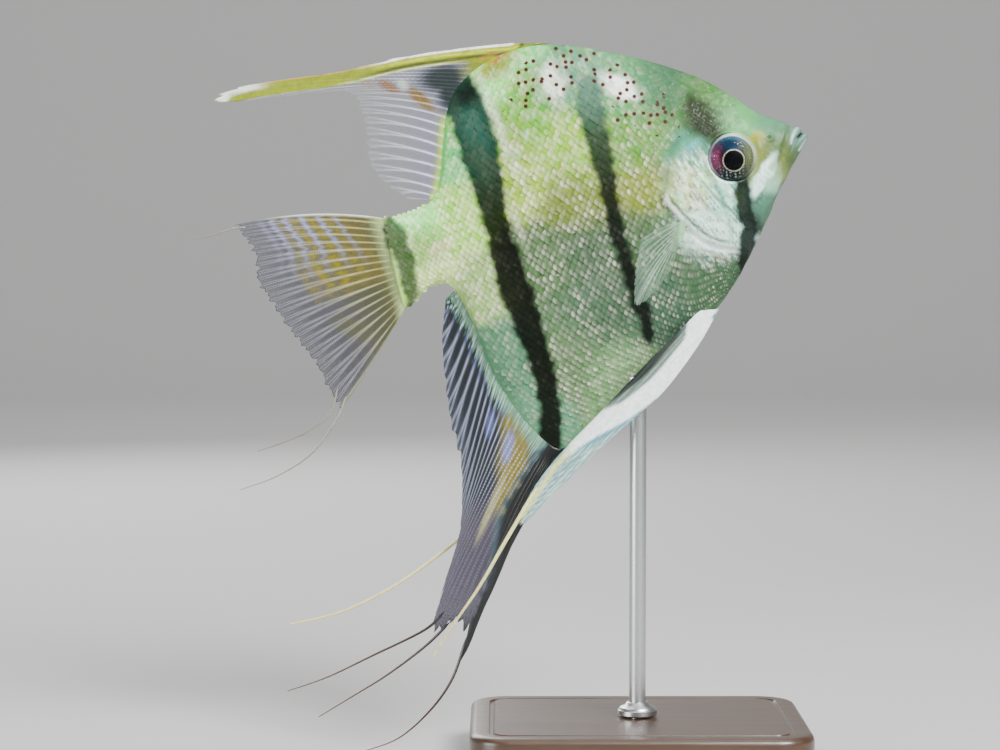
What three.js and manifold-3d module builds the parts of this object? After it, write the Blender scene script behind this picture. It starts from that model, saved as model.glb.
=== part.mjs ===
// A life-size museum model of a freshwater angelfish, held over a wooden base by one steel rod.
// Millimetres, +Z up. The fish faces +X and its right flank faces -Y. The origin is the middle of
// the base's underside. The fish is drawn in its own frame, in shares of its standard length: x runs
// from the tail fin's base (0) to the lips (1), z runs up, and y is the distance from the mid-plane.

import * as THREE from "three";
import { mergeVertices } from "three/addons/utils/BufferGeometryUtils.js";
import Module from "manifold-3d";

const wasm = await Module();
wasm.setup();

// Driving dimensions.
const LENGTH = 75; // standard length, from the lips to the tail fin's base
const PITCH = THREE.MathUtils.degToRad(17.1); // how far the snout points up
const TAIL_BASE = new THREE.Vector3(-42, 0, 89.5); // the middle of the tail fin's base
const GAP = 0.3; // clearance between neighbouring pieces
const RIDGE = 0.4; // half-thickness that rounds off the back and the keel
const BACK_SHARPNESS = 1.2; // above 1 the section narrows to a ridge along the back
const GILL_PLATE = 1.1; // thickness of a gill cover
const GILL_LIFT = 0.2; // how far a gill cover stands out from the flank

const SIDE_REACH = LENGTH / 4; // a distance from the mid-plane that lies outside every flank

const EYE = { x: 0.812, z: 0.006, radius: 0.0605 * LENGTH, depth: 2.6, bulge: 1.0 };

const BASE = { length: 60, width: 46, height: 8, corner: 7, chamfer: 1 };
const ROD = { radius: 1.5, socket: 5 };
const COLLAR = { radius: 3.6, height: 2.4 };
const CRADLE = { radius: 2.2, below: 4, above: 1.2 };

// Fins, in mm: thickness at the root and at the tip of a ray, and how far the root runs into the body.
const DORSAL_THICKNESS = [1.1, 0.55];
const ANAL_THICKNESS = [1.1, 0.55];
const CAUDAL_THICKNESS = [1.2, 0.55];
const PELVIC_THICKNESS = [1.3, 0.7];
const PECTORAL_THICKNESS = [1.1, 0.55];
const MEMBRANE_SHARE = 0.7; // thickness of the membrane beside that of its rays
const THINNEST = 0.5;
const ROOT_DEPTH = { median: 1.5, pelvic: 0.8, pectoral: 1 };
const FILAMENT_RADII = { anal: 0.36, caudal: 0.34, pelvic: 0.45, tip: 0.26 };
const PELVIC_SPREAD = { root: 1.5, spine: 1.9, trail: 1.2 }; // distances of a pelvic fin from the mid-plane
const PELVIC_SPINE_SHARE = 0.3; // the share of its length in which it leaves the keel
const PECTORAL_SPREAD = THREE.MathUtils.degToRad(28);
const PECTORAL_REACH = 0.17; // share of the standard length

// Detail of the meshes.
const RINGS_PER_STATION = 2;
const FACETS_PER_FLANK = 10;
const STEPS_ALONG_RAY = 4;
const STEPS_ALONG_FILAMENT = 2; // between two of its points
const FILAMENT_FACETS = 6;

// Stations of the body, from the lips to the tail fin. Each holds a point of the back, a point of
// the belly, the half-width between them and how sharp the keel is (1 is round).
const STATIONS = [
  [0.99, 0.025, 0.996, -0.009, 0.015, 0.9],
  [0.972, 0.041, 0.976, -0.031, 0.027, 1.0],
  [0.937, 0.069, 0.932, -0.075, 0.041, 1.0],
  [0.904, 0.094, 0.89, -0.122, 0.053, 1.05],
  [0.862, 0.145, 0.846, -0.172, 0.067, 1.1],
  [0.806, 0.204, 0.8, -0.222, 0.079, 1.15],
  [0.735, 0.258, 0.74, -0.282, 0.087, 1.2],
  [0.66, 0.305, 0.672, -0.331, 0.091, 1.25],
  [0.576, 0.351, 0.583, -0.357, 0.09, 1.3],
  [0.5, 0.384, 0.5, -0.408, 0.085, 1.4],
  [0.418, 0.404, 0.402, -0.461, 0.077, 1.5],
  [0.325, 0.396, 0.3, -0.517, 0.066, 1.6],
  [0.246, 0.361, 0.228, -0.55, 0.055, 1.8],
  [0.205, 0.312, 0.183, -0.497, 0.048, 1.9],
  [0.177, 0.249, 0.148, -0.409, 0.043, 1.8],
  [0.15, 0.182, 0.125, -0.303, 0.039, 1.5],
  [0.122, 0.134, 0.116, -0.183, 0.036, 1.3],
  [0.095, 0.114, 0.095, -0.092, 0.033, 1.1],
  [0.05, 0.107, 0.052, -0.075, 0.028, 1.0],
  [0.015, 0.109, 0.012, -0.093, 0.022, 1.0],
  [-0.008, 0.112, -0.028, -0.112, 0.014, 1.0],
];

// Rays of each fin, from its front edge to its rear edge: the ray's root and its tip.
const DORSAL_RAYS = [
  [0.47, 0.396, 0.4, 0.417],
  [0.418, 0.403, 0.3, 0.437],
  [0.37, 0.401, 0.15, 0.461],
  [0.325, 0.396, -0.01, 0.473],
  [0.285, 0.384, -0.15, 0.495],
  [0.262, 0.372, -0.262, 0.508],
  [0.245, 0.361, -0.304, 0.487],
  [0.232, 0.348, -0.055, 0.437],
  [0.218, 0.33, -0.003, 0.418],
  [0.2, 0.302, 0.012, 0.392],
  [0.183, 0.265, 0.013, 0.358],
  [0.166, 0.222, 0.008, 0.31],
  [0.148, 0.18, -0.004, 0.255],
  [0.125, 0.14, 0.01, 0.2],
  [0.105, 0.12, 0.06, 0.135],
];
const ANAL_RAYS = [
  [0.28, -0.52, 0.256, -0.548],
  [0.26, -0.53, 0.222, -0.574],
  [0.242, -0.538, 0.188, -0.6],
  [0.226, -0.543, 0.148, -0.632],
  [0.213, -0.547, 0.05, -0.724],
  [0.203, -0.542, -0.14, -0.946],
  [0.197, -0.535, -0.116, -0.893],
  [0.19, -0.52, -0.13, -0.857],
  [0.184, -0.5, -0.176, -0.868],
  [0.178, -0.478, -0.189, -0.852],
  [0.17, -0.452, -0.155, -0.8],
  [0.16, -0.425, -0.132, -0.762],
  [0.148, -0.398, -0.095, -0.71],
  [0.135, -0.368, -0.058, -0.65],
  [0.127, -0.33, -0.03, -0.575],
  [0.123, -0.285, -0.006, -0.488],
  [0.119, -0.235, -0.003, -0.4],
  [0.115, -0.18, 0.012, -0.31],
  [0.106, -0.13, 0.035, -0.205],
  [0.098, -0.1, 0.072, -0.115],
];
const CAUDAL_RAYS = [
  [-0.008, 0.11, -0.352, 0.2],
  [-0.01, 0.085, -0.345, 0.18],
  [-0.011, 0.06, -0.335, 0.15],
  [-0.011, 0.038, -0.329, 0.112],
  [-0.01, 0.018, -0.341, 0.062],
  [-0.01, -0.002, -0.33, 0.018],
  [-0.011, -0.022, -0.317, -0.032],
  [-0.013, -0.042, -0.3, -0.083],
  [-0.016, -0.062, -0.281, -0.13],
  [-0.02, -0.08, -0.266, -0.178],
  [-0.025, -0.098, -0.256, -0.24],
  [-0.029, -0.11, -0.243, -0.292],
];
const PELVIC_RAYS = [
  [0.676, -0.334, 0.489, -0.48],
  [0.667, -0.333, 0.322, -0.556],
  [0.659, -0.331, 0.193, -0.622],
  [0.652, -0.329, 0.09, -0.676],
  [0.646, -0.327, 0.096, -0.643],
  [0.64, -0.325, 0.192, -0.561],
  [0.635, -0.323, 0.345, -0.474],
  [0.63, -0.321, 0.49, -0.392],
];
const PECTORAL_RAYS = [
  [0.657, -0.101, 0.548, -0.112],
  [0.654, -0.11, 0.52, -0.165],
  [0.65, -0.12, 0.5, -0.215],
  [0.646, -0.13, 0.492, -0.255],
  [0.642, -0.138, 0.535, -0.243],
  [0.64, -0.146, 0.6, -0.196],
];

// Where each fin's trailing filaments run: x and z, and how far they stray to the side, in mm.
const CAUDAL_FILAMENTS = [
  [[-0.33, 0.187, 0], [-0.361, 0.193, 0], [-0.406, 0.192, 0.2], [-0.455, 0.195, 0.4]],
  [[-0.235, -0.24, 0], [-0.27, -0.291, -0.3], [-0.332, -0.319, -0.8], [-0.407, -0.327, -1.2],
    [-0.462, -0.328, -1.5]],
  [[-0.22, -0.262, 0], [-0.26, -0.312, 0.2], [-0.341, -0.372, 0.6], [-0.436, -0.4, 1.0],
    [-0.532, -0.406, 1.3]],
];
const ANAL_FILAMENTS = [
  [[-0.15, -0.826, 0], [-0.21, -0.855, 0], [-0.352, -0.877, -0.7], [-0.464, -0.893, -1.2],
    [-0.564, -0.896, -1.6]],
  [[-0.145, -0.854, 0], [-0.219, -0.893, 0.3], [-0.325, -0.933, 1.0], [-0.42, -0.959, 1.5],
    [-0.516, -0.984, 1.8]],
  [[-0.118, -0.9, 0], [-0.18, -0.986, 0], [-0.255, -1.044, -0.4], [-0.346, -1.084, -0.8],
    [-0.438, -1.089, -1.0]],
];
const RIGHT_PELVIC_FILAMENT = [
  [0.15, -0.6, 4.6], [0.042, -0.699, 5.2], [-0.047, -0.782, 5.6], [-0.125, -0.845, 5.8],
  [-0.205, -0.913, 5.8],
];
const LEFT_PELVIC_FILAMENT = [
  [0.17, -0.578, 4.6], [0.036, -0.634, 5.4], [-0.111, -0.695, 6.2], [-0.25, -0.742, 6.8],
  [-0.393, -0.766, 7.2], [-0.522, -0.759, 7.4],
];

// Lines along which the body is parted, in x and z.
const GILL_LINE = [
  [0.745, 0.31], [0.752, 0.195], [0.75, 0.105], [0.734, 0.082], [0.706, 0.077], [0.671, 0.047],
  [0.653, 0.003], [0.63, -0.04], [0.651, -0.094], [0.693, -0.161], [0.735, -0.19], [0.785, -0.208],
  [0.86, -0.235],
];
const STALK_LINE = [[0.11, 0.2], [0.104, 0.01], [0.108, -0.2]];
const MOUTH_LINE = [
  [1.02, 0.022], [0.973, 0.001], [0.952, -0.02], [0.929, -0.047], [0.902, -0.08], [0.875, -0.112],
  [0.872, -0.18],
];
const LIP_LINE = [
  [0.985, 0.07], [0.96, 0.025], [0.935, -0.01], [0.92, -0.035], [0.903, -0.062], [0.894, -0.088],
];
const GILL_PLATE_OUTLINE = [
  [0.738, 0.076], [0.71, 0.068], [0.681, 0.042], [0.664, 0.002], [0.642, -0.042], [0.661, -0.094],
  [0.7, -0.152], [0.742, -0.18], [0.79, -0.192], [0.806, -0.165], [0.778, -0.11], [0.752, -0.055],
  [0.742, 0.01],
];

/** Catmull-Rom blend of the four numbers a to d, between b (f = 0) and c (f = 1). */
function blend(a, b, c, d, f) {
  return b + 0.5 * f * (c - a + f * (2 * a - 5 * b + 4 * c - d + f * (3 * (b - c) + d - a)));
}

/** The smoothly blended row of a table at u, from 0 (first row) to 1 (last row). */
function rowAt(table, u) {
  const last = table.length - 1;
  const place = u * last;
  const i = Math.min(Math.max(Math.floor(place), 0), last - 1);
  const near = [i - 1, i, i + 1, i + 2].map((k) => table[Math.min(Math.max(k, 0), last)]);
  return table[0].map((_, c) => blend(near[0][c], near[1][c], near[2][c], near[3][c], place - i));
}

/** A manifold solid of a closed geometry. */
function solidOf(geometry) {
  const bare = geometry.index ? geometry.toNonIndexed() : geometry.clone();
  bare.deleteAttribute("normal");
  bare.deleteAttribute("uv");
  const merged = mergeVertices(bare, 1e-4);
  const index = merged.index.array;
  const faces = [];
  for (let i = 0; i < index.length; i += 3) {
    const [a, b, c] = [index[i], index[i + 1], index[i + 2]];
    if (a !== b && b !== c && c !== a) faces.push(a, b, c);
  }
  return new wasm.Manifold(
    new wasm.Mesh({
      numProp: 3,
      vertProperties: new Float32Array(merged.attributes.position.array),
      triVerts: new Uint32Array(faces),
    }),
  );
}

/** The geometry of a manifold solid. */
function geometryOf(solid) {
  const mesh = solid.getMesh();
  const geometry = new THREE.BufferGeometry();
  geometry.setAttribute("position", new THREE.Float32BufferAttribute(mesh.vertProperties, 3));
  geometry.setIndex(new THREE.Uint32BufferAttribute(mesh.triVerts, 1));
  const flat = geometry.toNonIndexed();
  flat.computeVertexNormals();
  return flat;
}

/** The largest separate body of a solid. */
function largest(solid) {
  return solid.decompose().sort((a, b) => b.volume() - a.volume())[0];
}

/** A closed geometry from lists of points and of faces that index them, turned to face outwards. */
function closedGeometry(points, faces) {
  const volume = faces.reduce((sum, [a, b, c]) => {
    const cross = new THREE.Vector3().crossVectors(points[b], points[c]);
    return sum + points[a].dot(cross);
  }, 0);
  const turned = volume < 0 ? faces.map(([a, b, c]) => [a, c, b]) : faces;
  const geometry = new THREE.BufferGeometry();
  const corners = turned.flat().flatMap((k) => points[k].toArray());
  geometry.setAttribute("position", new THREE.Float32BufferAttribute(corners, 3));
  return geometry;
}

/** A solid lofted through closed rings of equal count, with a fan over each end. */
function loft(rings) {
  const count = rings[0].length;
  const points = rings.flat();
  const faces = [];
  for (let i = 0; i < rings.length - 1; i++)
    for (let j = 0; j < count; j++) {
      const [a, b] = [i * count + j, i * count + ((j + 1) % count)];
      faces.push([a, b, b + count], [a, b + count, a + count]);
    }
  for (const [ring, end] of [[0, 0], [rings.length - 1, 1]]) {
    const middle = new THREE.Vector3();
    rings[ring].forEach((p) => middle.addScaledVector(p, 1 / count));
    points.push(middle);
    for (let j = 0; j < count; j++) {
      const edge = [ring * count + j, ring * count + ((j + 1) % count)];
      faces.push(end ? [points.length - 1, ...edge] : [points.length - 1, edge[1], edge[0]]);
    }
  }
  return solidOf(closedGeometry(points, faces));
}

/** A solid between two equal grids of points, front and back, closed round its rim. */
function slab(front, back) {
  const rows = front.length;
  const columns = front[0].length;
  const points = [...front.flat(), ...back.flat()];
  const at = (side, i, j) => side * rows * columns + i * columns + j;
  const faces = [];
  for (let i = 0; i < rows - 1; i++)
    for (let j = 0; j < columns - 1; j++)
      for (const side of [0, 1]) {
        const [a, b] = [at(side, i, j), at(side, i, j + 1)];
        const [c, d] = [at(side, i + 1, j + 1), at(side, i + 1, j)];
        faces.push(...(side ? [[a, c, b], [a, d, c]] : [[a, b, c], [a, c, d]]));
      }
  const rim = [];
  for (let j = 0; j < columns - 1; j++) rim.push([0, j]);
  for (let i = 0; i < rows - 1; i++) rim.push([i, columns - 1]);
  for (let j = columns - 1; j > 0; j--) rim.push([rows - 1, j]);
  for (let i = rows - 1; i > 0; i--) rim.push([i, 0]);
  rim.forEach((from, k) => {
    const to = rim[(k + 1) % rim.length];
    const [a, b, c, d] = [at(0, ...from), at(0, ...to), at(1, ...to), at(1, ...from)];
    faces.push([a, c, b], [a, d, c]);
  });
  return solidOf(closedGeometry(points, faces));
}

/** Back point, belly point, half-width and keel sharpness of the body at u, in mm. */
function stationAt(u) {
  const [backX, backZ, bellyX, bellyZ, half, keel] = rowAt(STATIONS, u);
  return {
    back: new THREE.Vector3(backX, 0, backZ).multiplyScalar(LENGTH),
    belly: new THREE.Vector3(bellyX, 0, bellyZ).multiplyScalar(LENGTH),
    half: half * LENGTH,
    keel,
  };
}

/** How far the flank stands from the mid-plane at a station, from the belly (rise 0) to the back (1). */
function thicknessAt(station, rise) {
  const round = 2 * Math.sqrt(Math.max(rise * (1 - rise), 0));
  const sharpness = THREE.MathUtils.lerp(station.keel, BACK_SHARPNESS, rise);
  return station.half * round ** sharpness + RIDGE * Math.sqrt(round);
}

/** The whole body, grown on every side by extra mm (shrunk where extra is negative). */
function bodySolid(extra = 0) {
  const ringCount = (STATIONS.length - 1) * RINGS_PER_STATION;
  const rings = [];
  for (let i = 0; i <= ringCount; i++) {
    const station = stationAt(i / ringCount);
    const up = station.back.clone().sub(station.belly).normalize();
    const along = new THREE.Vector3(up.z, 0, -up.x);
    const push = i === 0 ? extra : i === ringCount ? -extra : 0;
    const ring = [];
    for (let j = 0; j < 2 * FACETS_PER_FLANK; j++) {
      const angle = (j / FACETS_PER_FLANK) * Math.PI;
      const rise = (1 - Math.cos(angle)) / 2;
      const round = Math.abs(Math.sin(angle));
      const reach = Math.max(thicknessAt(station, rise) + extra * round ** 0.3, 0);
      const point = station.belly.clone().lerp(station.back, rise);
      point.addScaledVector(up, -extra * Math.cos(angle)).addScaledVector(along, push);
      point.y = Math.abs(round) < 1e-6 ? 0 : -Math.sign(Math.sin(angle)) * reach;
      ring.push(point);
    }
    rings.push(ring);
  }
  return loft(rings);
}

/** Half-thickness of the body, in mm, at a place given in shares of the length. */
function flankAt(x, z) {
  const place = new THREE.Vector3(x, 0, z).multiplyScalar(LENGTH);
  let [low, high] = [0, 1];
  for (let k = 0; k < 30; k++) {
    const u = (low + high) / 2;
    const { back, belly } = stationAt(u);
    const side = back.clone().sub(belly).cross(place.clone().sub(belly)).y;
    if (side > 0) high = u;
    else low = u;
  }
  const station = stationAt(low);
  const up = station.back.clone().sub(station.belly);
  const rise = place.sub(station.belly).dot(up) / up.lengthSq();
  return thicknessAt(station, THREE.MathUtils.clamp(rise, 0, 1));
}

/** A line of points moved sideways by distance, to the left of its run. */
function offsetLine(points, distance, closed = false) {
  const last = points.length - 1;
  return points.map(([x, z], i) => {
    const before = points[closed ? (i + last) % (last + 1) : Math.max(i - 1, 0)];
    const after = points[closed ? (i + 1) % (last + 1) : Math.min(i + 1, last)];
    const run = new THREE.Vector2(after[0] - before[0], after[1] - before[1]).normalize();
    return [x - run.y * distance, z + run.x * distance];
  });
}

/** A prism of an outline in x and z (mm) that runs from y = from to y = to. */
function prism(outline, from, to) {
  const shape = new THREE.Shape(outline.map(([x, z]) => new THREE.Vector2(x, z)));
  const geometry = new THREE.ExtrudeGeometry(shape, { depth: to - from, bevelEnabled: false });
  geometry.rotateX(Math.PI / 2).translate(0, to, 0);
  return solidOf(geometry);
}

/** A wall as thin as the gap that stands across the whole body along a line. */
function cutWall(line) {
  const points = line.map(([x, z]) => [x * LENGTH, z * LENGTH]);
  const outline = [...offsetLine(points, GAP / 2), ...offsetLine(points, -GAP / 2).reverse()];
  return prism(outline, -SIDE_REACH, SIDE_REACH);
}

/** An eyeball, a flattened sphere that stands a little out of the head; side is -1 right, 1 left. */
function eyeSolid(side, extra = 0) {
  const middle = flankAt(EYE.x, EYE.z) + EYE.bulge - EYE.depth;
  const geometry = new THREE.SphereGeometry(1, 16, 8);
  geometry.scale(EYE.radius + extra, EYE.depth + extra, EYE.radius + extra);
  geometry.translate(EYE.x * LENGTH, side * middle, EYE.z * LENGTH);
  return solidOf(geometry);
}

/** A filament along a line of [x, z, sideways mm], tapering from a radius to the thin tip. */
function filament(line, side, fromRadius) {
  const path = new THREE.CatmullRomCurve3(
    line.map(([x, z, away]) => new THREE.Vector3(x * LENGTH, side * away, z * LENGTH)),
  );
  const steps = (line.length - 1) * STEPS_ALONG_FILAMENT;
  const across = new THREE.Vector3(0, 1, 0);
  const rings = [];
  for (let i = 0; i <= steps; i++) {
    const middle = path.getPoint(i / steps);
    const other = path.getTangent(i / steps).cross(across).normalize();
    const radius = THREE.MathUtils.lerp(fromRadius, FILAMENT_RADII.tip, i / steps);
    const ring = [];
    for (let j = 0; j < FILAMENT_FACETS; j++) {
      const angle = (j / FILAMENT_FACETS) * 2 * Math.PI;
      const spoke = other.clone().multiplyScalar(Math.cos(angle)).addScaledVector(across, Math.sin(angle));
      ring.push(middle.clone().addScaledVector(spoke, radius));
    }
    rings.push(ring);
  }
  return loft(rings);
}

/**
 * A fin between the root and the tip of its rays, thick at each ray and thinner between rays.
 * rays: the table of roots and tips; count: how many rays it shows; bow(u): how far a ray curves
 * towards the fin's front, as a share of its own length; inside: how far the root runs into the
 * body, in mm; thickness: at the root and at the tip; away(u, s): distance from the mid-plane.
 * u runs from the front ray (0) to the rear ray (1), s along a ray from its root to its tip.
 */
function finSolid({ rays, count, bow, inside, thickness, away }) {
  const front = [];
  const back = [];
  for (let i = 0; i <= 2 * count; i++) {
    const u = i / (2 * count);
    const [rootX, rootZ, tipX, tipZ] = rowAt(rays, u).map((share) => share * LENGTH);
    const run = new THREE.Vector3(tipX - rootX, 0, tipZ - rootZ);
    const bend = new THREE.Vector3(-run.z, 0, run.x).multiplyScalar(bow(u));
    const isRay = i % 2 === 0;
    const frontRow = [];
    const backRow = [];
    for (let j = -1; j <= STEPS_ALONG_RAY; j++) {
      const s = j < 0 ? -inside / run.length() : (j / STEPS_ALONG_RAY) * (isRay ? 1 : 0.985);
      const point = new THREE.Vector3(rootX, 0, rootZ).addScaledVector(run, s);
      point.addScaledVector(bend, 4 * s * (1 - s));
      const full = THREE.MathUtils.lerp(thickness[0], thickness[1], Math.max(s, 0)) / 2;
      const half = isRay ? full : Math.max(full * MEMBRANE_SHARE, THINNEST / 2);
      const y = away(u, Math.max(s, 0));
      frontRow.push(point.clone().setY(y - half));
      backRow.push(point.clone().setY(y + half));
    }
    front.push(frontRow);
    back.push(backRow);
  }
  return slab(front, back);
}

const body = bodySolid();
const grownBody = bodySolid(GAP);

/** A median fin with its filaments, clear of the body. */
function medianFin(options, filaments, radius) {
  let fin = finSolid({ away: () => 0, inside: ROOT_DEPTH.median, ...options });
  for (const line of filaments) fin = fin.add(filament(line, 1, radius));
  return largest(fin.subtract(grownBody));
}

/** A pelvic fin: a stout spine and long rays that trail under the keel and end in a filament. */
function pelvicFin(side, line) {
  const { root, spine, trail } = PELVIC_SPREAD;
  const away = (u, s) => side * (root + spine * Math.min(s / PELVIC_SPINE_SHARE, 1) + trail * s * s);
  const bow = (u) => 0.03 * (1 - u) ** 3;
  const fin = finSolid({
    rays: PELVIC_RAYS, count: 6, bow, inside: ROOT_DEPTH.pelvic, thickness: PELVIC_THICKNESS, away,
  });
  return largest(fin.add(filament(line, side, FILAMENT_RADII.pelvic)).subtract(grownBody));
}

/** A pectoral fin, a short fan that stands out from the flank behind the gill cover. */
function pectoralFin(side) {
  const [rootX, rootZ] = rowAt(PECTORAL_RAYS, 0.5);
  const root = flankAt(rootX, rootZ);
  const away = (u, s) => side * (root + s * PECTORAL_REACH * LENGTH * Math.tan(PECTORAL_SPREAD));
  const fin = finSolid({
    rays: PECTORAL_RAYS, count: 4, bow: () => -0.04, inside: ROOT_DEPTH.pectoral,
    thickness: PECTORAL_THICKNESS, away,
  });
  return largest(fin.subtract(grownBody));
}

/** The gill cover of one side, a plate that stands a little proud of the flank. */
function gillCover(side) {
  const outline = GILL_PLATE_OUTLINE.map(([x, z]) => [x * LENGTH, z * LENGTH]);
  const block = side < 0 ? prism(outline, -SIDE_REACH, 0) : prism(outline, 0, SIDE_REACH);
  const plate = bodySolid(GILL_LIFT).intersect(block).subtract(bodySolid(-GILL_PLATE));
  return largest(plate.subtract(eyeSolid(side, GAP)));
}

/** The pocket in the head that holds the gill covers of both sides. */
function gillPockets() {
  const outline = GILL_PLATE_OUTLINE.map(([x, z]) => [x * LENGTH, z * LENGTH]);
  const grown = prism(offsetLine(outline, -GAP, true), -SIDE_REACH, SIDE_REACH);
  return grown.subtract(bodySolid(-GILL_PLATE - GAP));
}

/** The pieces of the parted body, from the tail stalk to the jaws. */
function bodyPieces() {
  let parted = body;
  for (const line of [GILL_LINE, STALK_LINE, MOUTH_LINE, LIP_LINE]) parted = parted.subtract(cutWall(line));
  for (const side of [-1, 1]) parted = parted.subtract(eyeSolid(side, GAP));
  const pieces = parted.subtract(gillPockets()).decompose().sort((a, b) => b.volume() - a.volume());
  const [trunk, head, ...small] = pieces.slice(0, 5);
  const middleX = (solid) => (solid.boundingBox().min[0] + solid.boundingBox().max[0]) / 2;
  const middleZ = (solid) => (solid.boundingBox().min[2] + solid.boundingBox().max[2]) / 2;
  const [stalk, ...jaws] = small.sort((a, b) => middleX(a) - middleX(b));
  const [lower, upper] = jaws.sort((a, b) => middleZ(a) - middleZ(b));
  return { trunk, head, tail_stalk: stalk, lower_jaw: lower, upper_jaw: upper };
}

/** Turns a geometry drawn round the Y axis, as cylinders and lathes are, to stand on the Z axis. */
function upright(geometry) {
  return geometry.rotateX(Math.PI / 2);
}

const fish = new THREE.Group();
fish.rotation.y = -PITCH;
fish.position.copy(TAIL_BASE);
fish.updateMatrixWorld(true);

/** Height of the belly above the floor where the rod meets it. */
function bellyHeight() {
  let lowest = Infinity;
  for (let u = 0.4; u < 0.6; u += 0.001) {
    const point = fish.localToWorld(stationAt(u).belly);
    if (Math.abs(point.x) < 0.4) lowest = Math.min(lowest, point.z);
  }
  return lowest;
}

/** A solid of the fish's frame, brought into the stand's frame. */
function inStandFrame(solid) {
  return solidOf(geometryOf(solid).applyMatrix4(fish.matrixWorld));
}

/** The wooden base with the socket of the rod. */
function standBase() {
  const { length, width, height, corner, chamfer } = BASE;
  const [x, y, r] = [length / 2 - chamfer, width / 2 - chamfer, corner - chamfer];
  const shape = new THREE.Shape();
  shape.moveTo(-x + r, -y).lineTo(x - r, -y).absarc(x - r, -y + r, r, -Math.PI / 2, 0);
  shape.absarc(x - r, y - r, r, 0, Math.PI / 2).absarc(-x + r, y - r, r, Math.PI / 2, Math.PI);
  shape.absarc(-x + r, -y + r, r, Math.PI, 1.5 * Math.PI);
  const geometry = new THREE.ExtrudeGeometry(shape, {
    depth: height - 2 * chamfer,
    bevelThickness: chamfer,
    bevelSize: chamfer,
    bevelSegments: 1,
    curveSegments: 4,
  });
  geometry.translate(0, 0, chamfer);
  const socket = upright(new THREE.CylinderGeometry(ROD.radius + GAP, ROD.radius + GAP, ROD.socket + 1, 16));
  socket.translate(0, 0, height - ROD.socket / 2 + 0.5);
  return solidOf(geometry).subtract(solidOf(socket));
}

/** The steel rod, from its socket to the cradle. */
function standRod(top) {
  const bottom = BASE.height - ROD.socket + GAP;
  const geometry = upright(new THREE.CylinderGeometry(ROD.radius, ROD.radius, top - bottom, 16));
  return solidOf(geometry.translate(0, 0, (top + bottom) / 2));
}

/** The collar that covers the socket. */
function standCollar() {
  const inner = ROD.radius + GAP;
  const { radius, height } = COLLAR;
  const profile = [
    [inner, 0], [radius, 0], [radius, height * 0.55], [inner + 0.6, height], [inner, height], [inner, 0],
  ];
  const points = profile.map(([r, z]) => new THREE.Vector2(r, z));
  return solidOf(upright(new THREE.LatheGeometry(points, 18)).translate(0, 0, BASE.height + GAP));
}

/** The cradle on top of the rod, hollowed by the keel that rests in it. */
function standCradle(belly) {
  const { radius, below, above } = CRADLE;
  const profile = [
    [0, -below], [ROD.radius + 0.2, -below], [radius, -below * 0.45], [radius, above], [0, above],
  ];
  const points = profile.map(([r, z]) => new THREE.Vector2(r, z));
  const cup = solidOf(upright(new THREE.LatheGeometry(points, 18)).translate(0, 0, belly));
  return largest(cup.subtract(inStandFrame(grownBody)));
}

/** Adds a solid to a group as a named mesh. */
function place(group, name, solid, color, roughness, metalness = 0) {
  const material = new THREE.MeshStandardMaterial({ color, roughness, metalness });
  const mesh = new THREE.Mesh(geometryOf(solid), material);
  mesh.name = name;
  group.add(mesh);
}

const angelfish = new THREE.Group();
angelfish.add(fish);

const pieces = bodyPieces();
place(fish, "head", pieces.head, 0x9fb09a, 0.4);
place(fish, "trunk", pieces.trunk, 0x8d9678, 0.4);
place(fish, "tail_stalk", pieces.tail_stalk, 0x9fae92, 0.4);
place(fish, "upper_jaw", pieces.upper_jaw, 0xb9cdbf, 0.45);
place(fish, "lower_jaw", pieces.lower_jaw, 0xa9b9a6, 0.45);

place(fish, "dorsal_fin", medianFin({
  rays: DORSAL_RAYS, count: 12, bow: (u) => -0.04 * Math.min(u / 0.43, 1) ** 2, thickness: DORSAL_THICKNESS,
}, [], 0), 0xa8a05c, 0.5);
place(fish, "anal_fin", medianFin({
  rays: ANAL_RAYS, count: 12, bow: (u) => 0.07 * u - 0.055, thickness: ANAL_THICKNESS,
}, ANAL_FILAMENTS, FILAMENT_RADII.anal), 0x7f8a8c, 0.5);
place(fish, "caudal_fin", medianFin({
  rays: CAUDAL_RAYS, count: 12, bow: (u) => 0.06 * u - 0.05, thickness: CAUDAL_THICKNESS,
}, CAUDAL_FILAMENTS, FILAMENT_RADII.caudal), 0x9a9d88, 0.5);

const SIDES = [["right", -1, RIGHT_PELVIC_FILAMENT], ["left", 1, LEFT_PELVIC_FILAMENT]];
for (const [sideName, side, pelvicLine] of SIDES) {
  place(fish, `eye_${sideName}`, eyeSolid(side), 0x1a1f2c, 0.1);
  place(fish, `gill_cover_${sideName}`, gillCover(side), 0xc6d6c8, 0.3);
  place(fish, `pelvic_fin_${sideName}`, pelvicFin(side, pelvicLine), 0xdfe8e4, 0.45);
  place(fish, `pectoral_fin_${sideName}`, pectoralFin(side), 0xa9b49c, 0.45);
}

const belly = bellyHeight();
place(angelfish, "stand_base", standBase(), 0x3b2417, 0.45);
place(angelfish, "stand_collar", standCollar(), 0xb8b9bb, 0.3, 1);
place(angelfish, "stand_rod", standRod(belly - CRADLE.below - GAP), 0xb8b9bb, 0.3, 1);
place(angelfish, "stand_cradle", standCradle(belly), 0xb8b9bb, 0.3, 1);

export default angelfish;
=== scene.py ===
"""Looks of a life-size museum model of a freshwater angelfish on its display stand.

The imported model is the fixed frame. The fish is drawn in its own frame, as its CAD is: x runs from the tail
fin's base (0) to the lips (1) and z runs up, both in shares of the standard length, and y is the distance from
the mid-plane, in metres. One skin stands for the nodes of flesh, scales lie over it, and fins, eyes and stand
are pieces of their own.
"""

import logging
import math
from dataclasses import dataclass
from enum import Enum
from typing import Callable, Sequence

import bpy
import numpy as np
from mathutils import Matrix, Vector


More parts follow.
